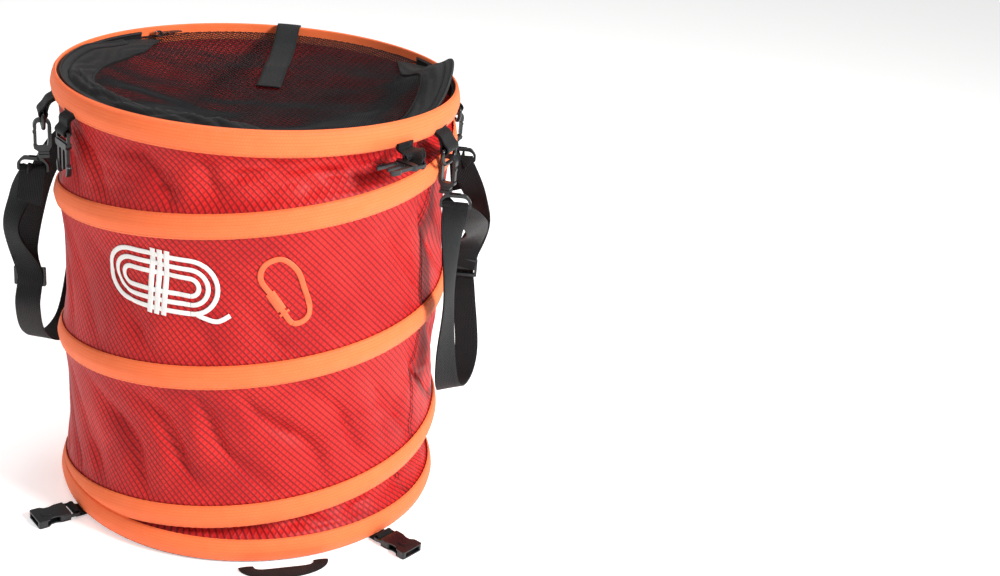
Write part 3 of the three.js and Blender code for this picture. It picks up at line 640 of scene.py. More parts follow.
base_bm = weld(lay(2 * math.pi * INNER_R, INNER_R, 96, 24, base_point))
base = finished("base_cloth", base_bm, black_cloth)
thicken(base, 1.5 * MM, 1)
hold(base, "base", "black_cloth", "base_panel")
print("base:", round(2000 * INNER_R), "mm across")

# %% [markdown]
# ## The printed sign
# A plain drawing of a coil of rope and a snap link stands on the front panel, screen printed, so it
# is a thin layer of ink that follows every crease of the cloth.

# %% Ink on the wall
INK_MM = 4.6


def smooth_line(points, per_span=10, closed=False):
    """A smooth line through given points."""
    points = [Vector(point) for point in points]
    count = len(points)
    line = []
    for i in range(count if closed else count - 1):
        if closed:
            a, b, c, d = (points[(i + k) % count] for k in (-1, 0, 1, 2))
        else:
            a, b, c, d = (points[min(max(i + k, 0), count - 1)] for k in (-1, 0, 1, 2))
        for k in range(per_span):
            t = k / per_span
            line.append(0.5 * (2 * b + (c - a) * t + (2 * a - 5 * b + 4 * c - d) * t * t
                               + (3 * b - a - 3 * c + d) * t ** 3))
    return line if closed else [*line, points[-1]]


def evenly(line, step=1.6 * MM):
    """The same line with its points a short, even step apart."""
    points = [line[0]]
    for target in line[1:]:
        pieces = max(round((target - points[-1]).length / step), 1)
        start = points[-1]
        points += [start.lerp(target, (k + 1) / pieces) for k in range(pieces)]
    return points


def ink_stroke(bm, line, width=INK_MM * MM):
    """A stroke of ink along a line given as distance round the wall and height."""
    line = evenly(line)

    def place(u, v):
        i = round(u * (len(line) - 1))
        ahead, behind = line[min(i + 1, len(line) - 1)], line[max(i - 1, 0)]
        along = (ahead - behind).normalized()
        spot = line[i] + Vector((-along.y, along.x)) * (v - 0.5) * width
        azimuth = math.degrees(spot.x / WALL_R)
        return at(azimuth, wall_radius(azimuth, spot.y) + 0.9 * MM, spot.y)

    return lay(1, 1, len(line) - 1, 4, place, bm)


def stadium(x, z, half_width, half_height):
    """A closed line with straight sides and round ends, in metres."""
    line = []
    for side, start in ((1, -90), (-1, 90)):
        for k in range(17):
            angle = math.radians(start + 180 * k / 16)
            centre = x + side * (half_width - half_height)
            line.append(Vector((centre + half_height * math.cos(angle), z + half_height * math.sin(angle))))
    return [*line, line[0]]


SIGN_Z = 0.291
ROPE_X = math.radians(-108) * WALL_R
LINK_X = math.radians(-72) * WALL_R
rope_ink = bmesh.new()
for half_width, half_height in ((58, 27), (49, 18), (40, 9)):
    ink_stroke(rope_ink, stadium(ROPE_X, SIGN_Z, half_width * MM, half_height * MM))
WRAP = [(-1.5, -33), (0, -10), (1.5, 12), (3, 33)]
for shift in (-9, -1.5, 6):
    wrap = [(ROPE_X + (shift + lean) * MM, SIGN_Z + z * MM) for lean, z in WRAP]
    ink_stroke(rope_ink, smooth_line(wrap, 14), 5.4 * MM)
tail = [(70, -24), (58, -31), (45, -29), (38, -27)]
ink_stroke(rope_ink, smooth_line([(ROPE_X + x * MM, SIGN_Z + z * MM) for x, z in tail], 8))
link_ink = bmesh.new()
LINK_LEAN = math.radians(-28)


def link_spot(x, z):
    """A point of the snap link, which is drawn upright and leans over."""
    turned = Vector((x, z)) @ Matrix.Rotation(LINK_LEAN, 2)
    return Vector((LINK_X, SIGN_Z)) + turned * MM


link_line = [
    (-9, -30), (3, -33), (12, -26), (16, -5), (18, 16),
    (10, 33), (-6, 35), (-16, 24), (-14, 4), (-12, -14),
]
link_points = smooth_line([link_spot(x, z) for x, z in link_line], 12, closed=True)
ink_stroke(link_ink, [*link_points, link_points[0]], 5.4 * MM)
ink_stroke(link_ink, [link_spot(-14.6, 8), link_spot(-12.2, -13)], 9.5 * MM)
ink_stroke(link_ink, [link_spot(-17, -17.5), link_spot(-6, -16)], 2.6 * MM)
for sign_name, sign_bm, ink, sign_slot in (
    ("sign_rope_print", rope_ink, white_ink, "red_ripstop"),
    ("sign_link_print", link_ink, orange_ink, "orange_tape"),
):
    sign = thicken(finished(sign_name, sign_bm, ink), 0.3 * MM)
    hold(sign, "base", sign_slot)
    fold_flat(sign)
print("sign centred at height", round(1000 * SIGN_Z), "mm")

# %% [markdown]
# ## The lid
# The lid is a disc of open net in a border of plain cloth. It hangs like a shallow dish, and the
# border's right side stands up, because the zip is open there and the tape springs back. The net
# is real threads: a grid turned on its points, with a wireframe of each square's edges. Front and
# back are one piece, fixed where it lies.

# %% Where the lid lies
CREST = 30 * MM
CREST_DEG, CREST_REACH_DEG = 5, 32
FOLD_HEIGHT, SLACK_HEIGHT, PULL_HEIGHT = 5 * MM, 3 * MM, 6 * MM
RUCK_PITCH = 10 * MM          # from one ruck of the border to the next


def lid_height(x, y):
    """Height of the lid's upper face over a point of the plan."""
    radius = math.hypot(x, y)
    azimuth = math.degrees(math.atan2(y, x))
    dish = LID_EDGE_Z - LID_SAG * (1 - min(radius / LID_EDGE_R, 1) ** 2)
    away = abs(azimuth - CREST_DEG) / CREST_REACH_DEG
    curl = math.cos(away * math.pi / 2) ** 2 if away < 1 else 0
    curl *= CREST * smooth(105 * MM, 190 * MM, radius)
    inner = smooth(LID_EDGE_R, 0.75 * LID_EDGE_R, radius)
    spot = Vector((x * 9, y * 14, 0.5))
    folds = FOLD_HEIGHT * (noise.noise(spot) + 0.35 * noise.noise(spot * 2.7)) * inner
    slack = SLACK_HEIGHT * math.sin((x * 0.8 - y) * 55) * inner * smooth(-0.02, 0.12, -y)
    turn = azimuth % 360
    pulled = PULL_HEIGHT * smooth(150, 168, turn) * (1 - smooth(222, 245, turn))
    pulled *= smooth(0.165, 0.188, radius)
    return dish + curl + folds + slack + pulled


def border_ends(azimuth):
    """1 along the zip, and less towards the border's two ends, where it narrows."""
    turn = (azimuth - 90) % 360 + 90
    return smooth(124, 150, turn) * (1 - smooth(390, 416, turn))


def border_inner(azimuth):
    """The border's inner edge; it closes towards the rim at both ends."""
    return LID_EDGE_R - (LID_EDGE_R - NET_R) * max(border_ends(azimuth), 0.15)


def border_height(azimuth, radius):
    """The border follows the lid and adds its own folds, deepest at the front left."""
    point = at(azimuth, radius, 0)
    turn = azimuth % 360
    bunched = smooth(180, 205, turn) * (1 - smooth(268, 292, turn))
    wander = 2.5 * noise.noise(at(azimuth, 2.2, 0.3)) + 0.35 * noise.noise(at(azimuth, 12, 0.7))
    wave = math.sin(2 * math.pi * (radius / RUCK_PITCH + wander))
    bow = max(math.sin(math.pi * min(max((radius - NET_R) / (BORDER_R - NET_R), 0), 1)), 0) ** 0.7
    ripple = (0.7 + 2.4 * bunched) * MM * wave * bow + (2.2 + 10 * bunched) * MM * bow
    return lid_height(point.x, point.y) + ripple


def hang(piece, slot, *replaced):
    """The piece is fixed where it lies and stands for CAD nodes, which it hides. slot is not used."""
    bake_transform(piece)
    if replaced:
        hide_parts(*replaced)
    return piece


print("lid centre at", round(1000 * lid_height(0, 0)), "mm")

# %% Net
NET_CELL = 3.4 * MM           # side of one mesh, turned on its point
NET_THREAD = 1.0 * MM


def make_net():
    bm = bmesh.new()
    cells = round(2 * INNER_R / NET_CELL)
    bmesh.ops.create_grid(bm, x_segments=cells, y_segments=cells, size=INNER_R)
    bmesh.ops.rotate(bm, verts=bm.verts, matrix=Matrix.Rotation(math.radians(45), 3, "Z"))
    reach = max(abs(vert.co.x) for vert in bm.verts) / math.sqrt(2)
    bmesh.ops.scale(bm, verts=bm.verts, vec=(INNER_R / reach,) * 3)
    outside = []
    for face in bm.faces:
        middle = face.calc_center_median()
        edge = INNER_R if middle.y > HINGE_Y else border_inner(azimuth_of(middle)) + 3 * MM
        if middle.length > edge:
            outside.append(face)
    bmesh.ops.delete(bm, geom=outside, context="FACES")
    cut_area = sum(face.calc_area() for face in bm.faces)
    for vert in bm.verts:
        vert.co.z = lid_height(vert.co.x, vert.co.y)
    return bm, cut_area


net_bm, net_area = make_net()
net = finished("lid_net", net_bm, net_thread)
threads = net.modifiers.new("net threads", "WIREFRAME")
threads.thickness, threads.use_even_offset = NET_THREAD, False
hang(net, "black_mesh", "lid_mesh", "lid_back_panel")
print("net:", len(net.data.polygons), "meshes")

# %% Border, piping and the two halves of the zip
SEWN_DEG = (140, 400)         # the zip runs between these azimuths, round the front
LID_ZIP_DEG = (148, 392)      # the lid's half stops short of the line where the lid is sewn down
BORDER_DEG = (128, 412)       # the border runs on to the line where the lid is sewn down
BORDER_WIDTH = LID_EDGE_R - NET_R
END_DRAWN_BACK = 14 * MM      # the border's ends keep clear of the wall when the lid opens


def make_border():
    length = INNER_R * math.radians(BORDER_DEG[1] - BORDER_DEG[0])

    def place(u, v):
        azimuth = BORDER_DEG[0] + math.degrees(u / INNER_R)
        inner = border_inner(azimuth)
        outer = LID_EDGE_R - END_DRAWN_BACK * (1 - border_ends(azimuth))
        radius = inner + (outer - inner) * v / BORDER_WIDTH
        return at(azimuth, radius, border_height(azimuth, radius))

    bm = lay(length, BORDER_WIDTH, 330, 14, place)
    bmesh.ops.bisect_plane(
        bm, geom=[*bm.verts, *bm.edges, *bm.faces], plane_co=(0, HINGE_Y + 3 * MM, 0), plane_no=(0, 1, 0),
        clear_outer=True,
    )
    return bm


border = thicken(finished("lid_border_cloth", make_border(), black_cloth), 0.8 * MM)
hang(border, "black_cloth", "lid_border")


def lid_line(radius, lift, start=LID_ZIP_DEG[0], end=LID_ZIP_DEG[1], step=1.0):
    """A line round the lid, lifted off its surface."""
    count = round((end - start) / step)
    turns = [start + (end - start) * i / count for i in range(count + 1)]
    return [at(turn, radius, border_height(turn, radius) + lift) for turn in turns]


piping = finished("lid_border_piping", rod(lid_line(NET_R + 1 * MM, 1.1 * MM), 1.3 * MM, 8), black_cloth)
border_rows = bmesh.new()
ROW_LENGTH = NET_R * math.radians(LID_ZIP_DEG[1] - LID_ZIP_DEG[0])
for row_radius in (NET_R + 4 * MM, BORDER_R - 2 * MM):

    def row_point(u, up, row_radius=row_radius):
        azimuth = LID_ZIP_DEG[0] + math.degrees(u / NET_R)
        return at(azimuth, row_radius, border_height(azimuth, row_radius) + (0.3 * up - 0.1) * MM)

    stitches(border_rows, row_point, ROW_LENGTH)
border_thread = finished("lid_border_stitching", border_rows, black_thread)

ZIP_LENGTH = LID_EDGE_R * math.radians(SEWN_DEG[1] - SEWN_DEG[0])
LID_ZIP_LENGTH = LID_EDGE_R * math.radians(LID_ZIP_DEG[1] - LID_ZIP_DEG[0])


def zip_lid_point(u, v):
    azimuth = LID_ZIP_DEG[0] + math.degrees(u / LID_EDGE_R)
    radius = BORDER_R + v
    return at(azimuth, radius, border_height(azimuth, radius) + 0.9 * MM)


zip_lid = thicken(finished(
    "zip_lid_half", lay(LID_ZIP_LENGTH, LID_EDGE_R - BORDER_R, 280, 4, zip_lid_point), zip_tape,
), 0.8 * MM)
TOOTH = 3 * MM                # a bead and the gap after it


def beaded(line):
    """The coil chain of a zip: a rod with a bead for every tooth."""
    return rod(line, lambda i: (0.8 + 0.5 * (i % 2)) * MM, 6)


TOOTH_DEG = math.degrees(TOOTH / 2 / LID_EDGE_R)
lid_teeth_line = lid_line(LID_EDGE_R - 1 * MM, 1.7 * MM, step=TOOTH_DEG)
zip_lid_teeth = finished("zip_lid_teeth", beaded(lid_teeth_line), black_thread)
hang(piping, "black_cloth")
hang(border_thread, "black_cloth")
hang(zip_lid, "zip_tape", "zip_lid_tape")
hang(zip_lid_teeth, "zip_tape")
ZIP_RIM_LOW, ZIP_RIM_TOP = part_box("zip_rim_tape")[0].z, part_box("zip_rim_tape")[1].z


def zip_rim_point(u, v):
    azimuth = SEWN_DEG[0] + math.degrees(u / LID_EDGE_R)
    ripple = 0.5 * MM * math.sin(math.radians(azimuth) * 40)
    return at(azimuth, INNER_R - 0.6 * MM + ripple * (1 - v / (ZIP_RIM_TOP - ZIP_RIM_LOW)), ZIP_RIM_LOW + v)


zip_rim = thicken(finished(
    "zip_rim_half", lay(ZIP_LENGTH, ZIP_RIM_TOP - ZIP_RIM_LOW, 280, 5, zip_rim_point), zip_tape,
), 0.8 * MM, 0)
hold(zip_rim, "top", "zip_tape", "zip_rim_tape")
rim_turns = [SEWN_DEG[0] + TOOTH_DEG * i for i in range(int((SEWN_DEG[1] - SEWN_DEG[0]) / TOOTH_DEG))]
rim_line = [at(turn, INNER_R - 1.6 * MM, ZIP_RIM_TOP - 1.5 * MM) for turn in rim_turns]
hold(finished("zip_rim_teeth", beaded(rim_line), black_thread), "top", "zip_tape")
print("zip:", round(ZIP_LENGTH, 2), "m long")

# %% [markdown]
# ## Webbing
# Webbing keeps its width and bends only across it, so each strap is a strip laid along a smooth line
# through a few chosen points, with a direction across it at each point. Where that direction
# turns, the strap twists.

# %% Webbing helper


def strip(route, width, bm=None, steps_across=6, per_span=8, crown=0.25 * MM):
    """Webbing along a route of (point, across) pairs."""
    points = smooth_line([point for point, across in route], per_span)
    sides = smooth_line([across for point, across in route], per_span)
    count = len(points)
    normals = []
    for i in range(count):
        forward = (points[min(i + 1, count - 1)] - points[max(i - 1, 0)]).normalized()
        side = (sides[i] - forward * sides[i].dot(forward)).normalized()
        sides[i] = side
        normals.append(forward.cross(side))
    length = sum((b - a).length for a, b in zip(points, points[1:]))

    def place(u, v):
        i = round(u / length * (count - 1))
        off = v - width / 2
        edge = 1 - (2 * off / width) ** 2
        return points[i] + sides[i] * off + normals[i] * crown * edge

    return lay(length, width, count - 1, steps_across, place, bm)


def webbing_piece(name, bm, body, *replaced, thickness=WEBBING_THICKNESS, slot="black_webbing"):
    piece = thicken(finished(name, bm, black_webbing), thickness, 0)
    edge = piece.modifiers.new("soft edge", "BEVEL")
    edge.width, edge.segments, edge.limit_method, edge.angle_limit = 0.35 * MM, 2, "ANGLE", math.radians(50)
    return hold(piece, body, slot, *replaced)


# %% [markdown]
# ## Shoulder straps
# Each strap starts at the slider, runs up through the front eye, down again along the wall, round the
# bottom loop, back up through the slider and on to the rear eye. The left strap is the same strap
# turned half round the bag.

# %% Shoulder straps
ring_at = {name: Vector(joints["ring_swing_" + name]["pos_m"]) for name in
           ("right_front", "right_back", "left_front", "left_back")}
eye_low, eye_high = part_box("swivel_eye_right_back")
EYE_BAR_Z = eye_low.z + 1.75 * MM
EYE_X = (eye_low.x + eye_high.x) / 2
EYE_Y = (eye_low.y + eye_high.y) / 2
slider_low, slider_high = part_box("strap_slider_right")
SLIDER = (slider_low + slider_high) / 2
STRAP_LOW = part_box("shoulder_strap_right")[0].z


def eye_loop(y, toward):
    """Points of webbing that bends round an eye's lower bar; toward is the side it comes from."""
    return [
        ((EYE_X, y + toward * 3.4 * MM, EYE_BAR_Z - 2 * MM), (1, 0, 0)),
        ((EYE_X, y + toward * 2.6 * MM, EYE_BAR_Z + 2.4 * MM), (1, 0, 0)),
        ((EYE_X, y, EYE_BAR_Z + 3.6 * MM), (1, 0, 0)),
        ((EYE_X, y - toward * 2.6 * MM, EYE_BAR_Z + 2.4 * MM), (1, 0, 0)),
        ((EYE_X, y - toward * 3.4 * MM, EYE_BAR_Z - 2 * MM), (1, 0, 0)),
    ]


OUTER_X = SLIDER.x + 6 * MM
STRAP_ROUTE = [
    ((SLIDER.x, SLIDER.y - 3.4 * MM, SLIDER.z + 1 * MM), (1, 0, 0)),
    ((OUTER_X, SLIDER.y - 6 * MM, SLIDER.z + 30 * MM), (0.95, 0.25, 0)),
    ((OUTER_X + 6 * MM, -0.012, SLIDER.z + 72 * MM), (0.7, 0.7, 0.1)),
    ((OUTER_X, -0.052, EYE_BAR_Z - 22 * MM), (0.9, 0.4, 0.1)),
    *eye_loop(-EYE_Y, 1),
    ((EYE_X - 1 * MM, -EYE_Y - 6 * MM, EYE_BAR_Z - 34 * MM), (0.7, 0.7, 0)),
    ((EYE_X + 1 * MM, -EYE_Y - 4 * MM, EYE_BAR_Z - 95 * MM), (0.35, 0.93, 0)),
    ((EYE_X + 2 * MM, -0.064, STRAP_LOW + 56 * MM), (0.7, 0.7, 0.05)),
    ((EYE_X + 7 * MM, -0.044, STRAP_LOW + 10 * MM), (0.93, 0.35, 0.1)),
    ((EYE_X + 17 * MM, -0.008, STRAP_LOW + 2 * MM), (0.95, 0.2, 0.2)),
    ((EYE_X + 23 * MM, 0.024, STRAP_LOW + 24 * MM), (0.97, 0.1, 0.1)),
    ((OUTER_X - 2 * MM, SLIDER.y - 1 * MM, SLIDER.z - 34 * MM), (1, 0, 0)),
    ((SLIDER.x, SLIDER.y + 2.6 * MM, SLIDER.z - 8 * MM), (1, 0, 0)),
    ((SLIDER.x, SLIDER.y + 3.2 * MM, SLIDER.z + 8 * MM), (1, 0, 0)),
    ((OUTER_X + 9 * MM, SLIDER.y + 6 * MM, SLIDER.z + 50 * MM), (0.8, -0.6, 0)),
    ((OUTER_X + 2 * MM, EYE_Y - 14 * MM, EYE_BAR_Z - 36 * MM), (0.9, -0.4, 0)),
    *eye_loop(EYE_Y, -1),
    ((EYE_X + 3 * MM, EYE_Y + 4 * MM, EYE_BAR_Z - 26 * MM), (1, 0, 0)),
    ((EYE_X + 5 * MM, EYE_Y + 3 * MM, EYE_BAR_Z - 34 * MM), (1, 0, 0)),
]


def half_turn(bm):
    """Turns a right-hand piece to the left side of the bag."""
    bmesh.ops.rotate(bm, verts=bm.verts, matrix=Matrix.Rotation(math.pi, 3, "Z"))
    return bm


for side in ("right", "left"):
    strap_bm = strip(STRAP_ROUTE, WEBBING)
    webbing_piece(
        "strap_webbing_" + side, strap_bm if side == "right" else half_turn(strap_bm),
        "strap_" + side, "shoulder_strap_" + side,
    )
print("shoulder strap lowest point:", round(1000 * STRAP_LOW), "mm")

# %% [markdown]
# ## Webbing tabs
# A tab is a short strip that comes out from under the rim tape, goes round a bar and back up. The
# right buckle's tab is twisted a quarter turn, which is why its buckle lies level.

# %% Tabs under the rim and on the floor


def around(azimuth):
    """Directions out, round the bag and up, at an azimuth."""
    return at(azimuth, 1, 0), at(azimuth + 90, 1, 0), Vector((0, 0, 1))


def make_tab(azimuth, radius, bar_z, bar, width):
    """A loop that hangs from the rim tape round a bar at this radius and height."""
    out, across, up = around(azimuth)
    root = TAPE_INSIDE + 1.2 * MM
    route = [(root, RIM_LOW + 6 * MM), (root, RIM_LOW + 2 * MM), (TAPE_R + 1.4 * MM, RIM_LOW - 2 * MM)]
    route += [(radius - bar * 0.95, bar_z + bar * 0.9)]
    route += [(radius + bar * math.cos(t), bar_z + bar * math.sin(t)) for t in
              (math.radians(a) for a in (180, 225, 270, 315, 0, 45))]
    route += [(radius - bar * 0.2, bar_z + bar * 1.7), (TAPE_R + 3.2 * MM, RIM_LOW - 0.5 * MM)]
    route += [(root + 1.8 * MM, RIM_LOW + 3 * MM), (root + 1.7 * MM, RIM_LOW + 6 * MM)]
    return strip([(out * r + up * z, across) for r, z in route], width, per_span=4)


NARROW = 20 * MM
for name, point in ring_at.items():
    tab = make_tab(azimuth_of(point), point.xy.length, point.z, 3.9 * MM, WEBBING)
    webbing_piece("ring_tab_webbing_" + name, tab, "top", "ring_tab_" + name)
male_at = {side: Vector(joints["male_swing_" + side]["pos_m"]) for side in ("right", "left", "back")}
for side in ("left", "back"):
    point = male_at[side]
    tab = make_tab(azimuth_of(point), point.xy.length, point.z, 3.5 * MM, NARROW)
    webbing_piece("buckle_tab_webbing_" + side, tab, "top", "buckle_tab_" + side)


def make_twisted_tab(point):
    """The right tab: from flat against the wall to a loop round a bar that points outwards."""
    out, across, up = around(azimuth_of(point))
    radius, z = point.xy.length, point.z
    root = TAPE_INSIDE + 2 * MM
    bar = 3.5 * MM
    route = [
        (out * root + up * (RIM_LOW + 6 * MM), across),
        (out * (root + 1 * MM) + up * (RIM_LOW - 1 * MM), across),
        (out * (radius - 3 * MM) + up * (z + 7.5 * MM) + across * 1 * MM, (across + out).normalized()),
    ]
    route += [
        (out * radius + across * bar * math.cos(t) + up * (z + bar * math.sin(t)), out)
        for t in (math.radians(a) for a in (60, 0, -60, -120, 180, 120))
    ]
    route += [
        (out * (radius - 4 * MM) + up * (z + 8 * MM) - across * 1 * MM, (across + out).normalized()),
        (out * (root + 3 * MM) + up * (RIM_LOW - 1 * MM), across),
        (out * (root + 2.5 * MM) + up * (RIM_LOW + 5 * MM), across),
    ]
    return strip(route, NARROW, per_span=5)


webbing_piece("buckle_tab_webbing_right", make_twisted_tab(male_at["right"]), "top", "buckle_tab_right")
female_at = {side: Vector(joints["female_swing_" + side]["pos_m"]) for side in ("right", "left", "back")}


def make_floor_tab(point):
    """A tab that comes out from under the base tape, goes round the bar and back."""
    out, across, up = around(azimuth_of(point))
    radius, z = point.xy.length, point.z
    bar = 3.3 * MM
    route = [(INNER_R - 12 * MM, 1.1 * MM), (INNER_R, 1.1 * MM)]
    route += [(radius + bar * math.cos(t), z + bar * math.sin(t)) for t in
              (math.radians(a) for a in (-90, -45, 0, 45, 90, 135, 180))]
    route += [(radius - 6.5 * MM, 2.6 * MM), (INNER_R, 2.4 * MM)]
    return strip([(out * r + up * h, across) for r, h in route], NARROW, per_span=4)


for side, point in female_at.items():
    webbing_piece(
        "base_tab_webbing_" + side, make_floor_tab(point), "base", "base_tab_" + side, thickness=1.2 * MM,
    )
print("tabs:", len(ring_at) + len(male_at) + len(female_at))

# %% Rear strap and base handle
REAR_OUT = TAPE_R + 1.1 * MM
REAR_ROUTE = [
    (REAR_OUT, RIM_LOW + 1 * MM), (REAR_OUT, RIM_TOP - 9 * MM), (REAR_OUT - 0.5 * MM, RIM_TOP - 1 * MM),
    (REAR_OUT - 4 * MM, RIM_TOP + 1.2 * MM), (INNER_R - 4 * MM, RIM_TOP + 0.6 * MM),
    (0.180, LID_EDGE_Z + 4.5 * MM),
]
ON_LID_Y = (0.165, 0.15, 0.135, 0.12, 0.105, 0.09, 0.075, 0.062)
REAR_ROUTE += [(y, lid_height(0, y) + 2.2 * MM) for y in ON_LID_Y]
REAR_ROUTE += [(0.054, lid_height(0, 0.054) + 3.2 * MM)]
rear_bm = strip([(Vector((0, y, z)), Vector((1, 0, 0))) for y, z in REAR_ROUTE], WEBBING)
rear = thicken(finished("rear_strap_webbing", rear_bm, black_webbing), WEBBING_THICKNESS, 0)
hang(rear, "black_webbing", "rear_strap", "rear_strap_end")

HANDLE_AT = Vector(joints["handle_lift"]["pos_m"])
HANDLE_HALF, HANDLE_REACH, HANDLE_WIDTH, HANDLE_LENGTH = 45 * MM, 24 * MM, 17 * MM, 150 * MM


def handle_point(u, v):
    """A strip that bows outwards on the floor from the base tape."""
    out, across, up = around(azimuth_of(HANDLE_AT))
    turn = math.pi * (u / HANDLE_LENGTH - 0.5)
    share = v / HANDLE_WIDTH
    half = HANDLE_HALF - (1 - share) * (HANDLE_WIDTH - 2 * MM)
    reach = HANDLE_REACH - (1 - share) * HANDLE_WIDTH * math.cos(turn) ** 0.5
    rise = 0.7 * MM * math.sin(math.pi * share)
    return (HANDLE_AT + out * reach * math.cos(turn) + across * half * math.sin(turn)
            + up * (rise - 0.1 * MM))


handle_bm = lay(HANDLE_LENGTH, HANDLE_WIDTH, 40, 6, handle_point)
webbing_piece("base_handle_webbing", handle_bm, "base_handle", "base_handle")
print("rear strap and handle laid")

# %% [markdown]
# ## Moulded parts
# Buckles, hooks, rings and sliders are acetal, moulded in two-part tools: flat outlines with evenly
# rounded edges. So each starts as an outline, is filled, pulled up to its thickness and bevelled.

# %% Moulding helpers


def rounded(points, radius, steps=4):
    """A closed outline whose corners are eased over radius."""
    points = [Vector(point) * MM for point in points]
    outline = []
    for i, corner in enumerate(points):
        before, after = points[i - 1] - corner, points[(i + 1) % len(points)] - corner
        reach = min(radius * MM, before.length * 0.45, after.length * 0.45)
        start, end = before.normalized() * reach, after.normalized() * reach
        for k in range(steps + 1):
            t = k / steps
            outline.append(corner + (1 - t) ** 2 * start + t * t * end)
    return outline


def mould(outlines, low, high, ease, bm=None, radius=1.2):
    """A plate between two heights, in millimetres, with holes after the first outline."""
    plate = bmesh.new()
    edges = []
    for points in outlines:
        loop = [plate.verts.new((p.x, p.y, low * MM)) for p in rounded(points, radius)]
        edges += [plate.edges.new((loop[i - 1], loop[i])) for i in range(len(loop))]
    bmesh.ops.triangle_fill(plate, use_beauty=True, use_dissolve=False, edges=edges)
    lifted = bmesh.ops.extrude_face_region(plate, geom=plate.faces[:])["geom"]
    tops = [item for item in lifted if isinstance(item, bmesh.types.BMVert)]
    bmesh.ops.translate(plate, verts=tops, vec=(0, 0, (high - low) * MM))
    bmesh.ops.recalc_face_normals(plate, faces=plate.faces)
    sharp = [edge for edge in plate.edges if edge.calc_face_angle(0) > math.radians(60)]
    bmesh.ops.bevel(
        plate, geom=sharp, offset=ease * MM, offset_type="OFFSET", segments=3, profile=0.5,
        affect="EDGES", material=-1, clamp_overlap=True,
    )
    if bm is None:
        return plate
    held = bpy.data.meshes.new("held")
    plate.to_mesh(held)
    plate.free()
    bm.from_mesh(held)
    bpy.data.meshes.remove(held)
    return bm


def box_outline(x0, y0, x1, y1):
    return [(x0, y0), (x1, y0), (x1, y1), (x0, y1)]


def mirrored(right_side):
    """A closed outline from the points of its right side."""
    return [*right_side, *[(-x, y) for x, y in reversed(right_side)]]


def set_in(bm, origin, x_axis, y_axis, z_axis):
    """Moves a part from its drawing to its place on the bag."""
    turn = Matrix((x_axis, y_axis, z_axis)).transposed().to_4x4()
    bmesh.ops.transform(bm, matrix=Matrix.Translation(origin) @ turn, verts=bm.verts)
    return bm


def moulded_piece(name, bm, body, *replaced, finish=acetal, slot="black_plastic"):
    piece = finished(name, bm, finish)
    piece.modifiers.new("even shading", "WEIGHTED_NORMAL").keep_sharp = True
    return hold(piece, body, slot, *replaced)


# %% [markdown]
# ### Side-release buckles
# The male half is a ladder bar with two springy prongs and a guide between them. The female half is a
# hollow shell, narrow in the middle, so that fingers reach the prongs.

# %% Buckles


def male_buckle():
    bm = mould([
        mirrored([(12.6, -1.8), (12.6, 13), (10.4, 15), (10.4, 30), (12.4, 33), (11.4, 39), (9.6, 42),
                  (7.4, 42), (6.8, 30), (6.6, 17), (1.9, 16.5), (1.5, 37)]),
        box_outline(-10.5, 1.9, 10.5, 7.4),
    ], -1.6, 1.6, 0.5)
    mould([mirrored([(12.2, 9.2), (12.2, 13), (10, 15.4)])], -2.9, 2.9, 0.8, bm)
    for x in (-6, 0, 6):
        mould([box_outline(x - 1.2, 9.6, x + 1.2, 14.4)], 2.6, 3.3, 0.3, bm, 0.6)
    for side in (-1, 1):
        prong = [(10.2, 29), (12.6, 33), (11.6, 38.6), (9.8, 41.6), (8.2, 41)]
        mould([[(side * x, y) for x, y in prong]], -2.3, 2.3, 0.6, bm)
    return bm


def female_buckle():
    shell = mirrored([(12, 7.6), (12, 17), (10, 23), (10.4, 28), (13.6, 31.5), (14, 40.4), (12.4, 42)])
    bm = mould([shell], -4.1, -2.7, 0.5)
    mould([shell], 2.5, 3.9, 0.5, bm)
    mould([mirrored([(12, 7.6), (12, 17.5), (10.6, 19)])], -4.0, 3.8, 0.7, bm)
    for side in (-1, 1):
        wall = [(13.9, 33), (13.9, 40.4), (12.4, 41.9), (9.8, 41.9), (9.8, 33)]
        mould([[(side * x, y) for x, y in wall]], -3.2, 3.0, 0.4, bm, 0.6)
    frame_hole = box_outline(-10.5, 1.9, 10.5, 7)
    mould([box_outline(-12, -1.8, 12, 9), frame_hole], -1.6, 1.6, 0.5, bm)
    mould([[(-5, 24), (5, 24), (4, 35), (-4, 35)]], 3.6, 4.4, 0.3, bm)
    return bm


DOWN = Vector((0, 0, -1))
for side, point in male_at.items():
    out, across, up = around(azimuth_of(point))
    axes = (out, -across, DOWN) if side == "right" else (across, DOWN, -out)
    part = set_in(male_buckle(), point, *axes)
    moulded_piece("buckle_male_" + side, part, "male_" + side, "male_buckle_" + side)
for side, point in female_at.items():
    out, across, up = around(azimuth_of(point))
    part = set_in(female_buckle(), point, -across, out, up)
    moulded_piece("buckle_female_" + side, part, "female_" + side, "female_buckle_" + side)
print("buckles:", len(male_at), "pairs")

# %% [markdown]
# ### Rings, snap hooks and eyes
# A strap clips to its D-ring with a snap hook: a bent bar with a sprung gate, and a swivel eye below
# that the webbing runs through.

# %% Strap hardware
RING_DROP = 15 * MM


def d_ring_path():
    """A straight top bar and a bowed lower one; X runs along the bar and Y down."""
    corners = [(-15, 0), (15, 0), (15, 8), (9.5, 15), (-9.5, 15), (-15, 8)]
    return [Vector((p.x, p.y, 0)) for p in rounded(corners, 6, 6)]


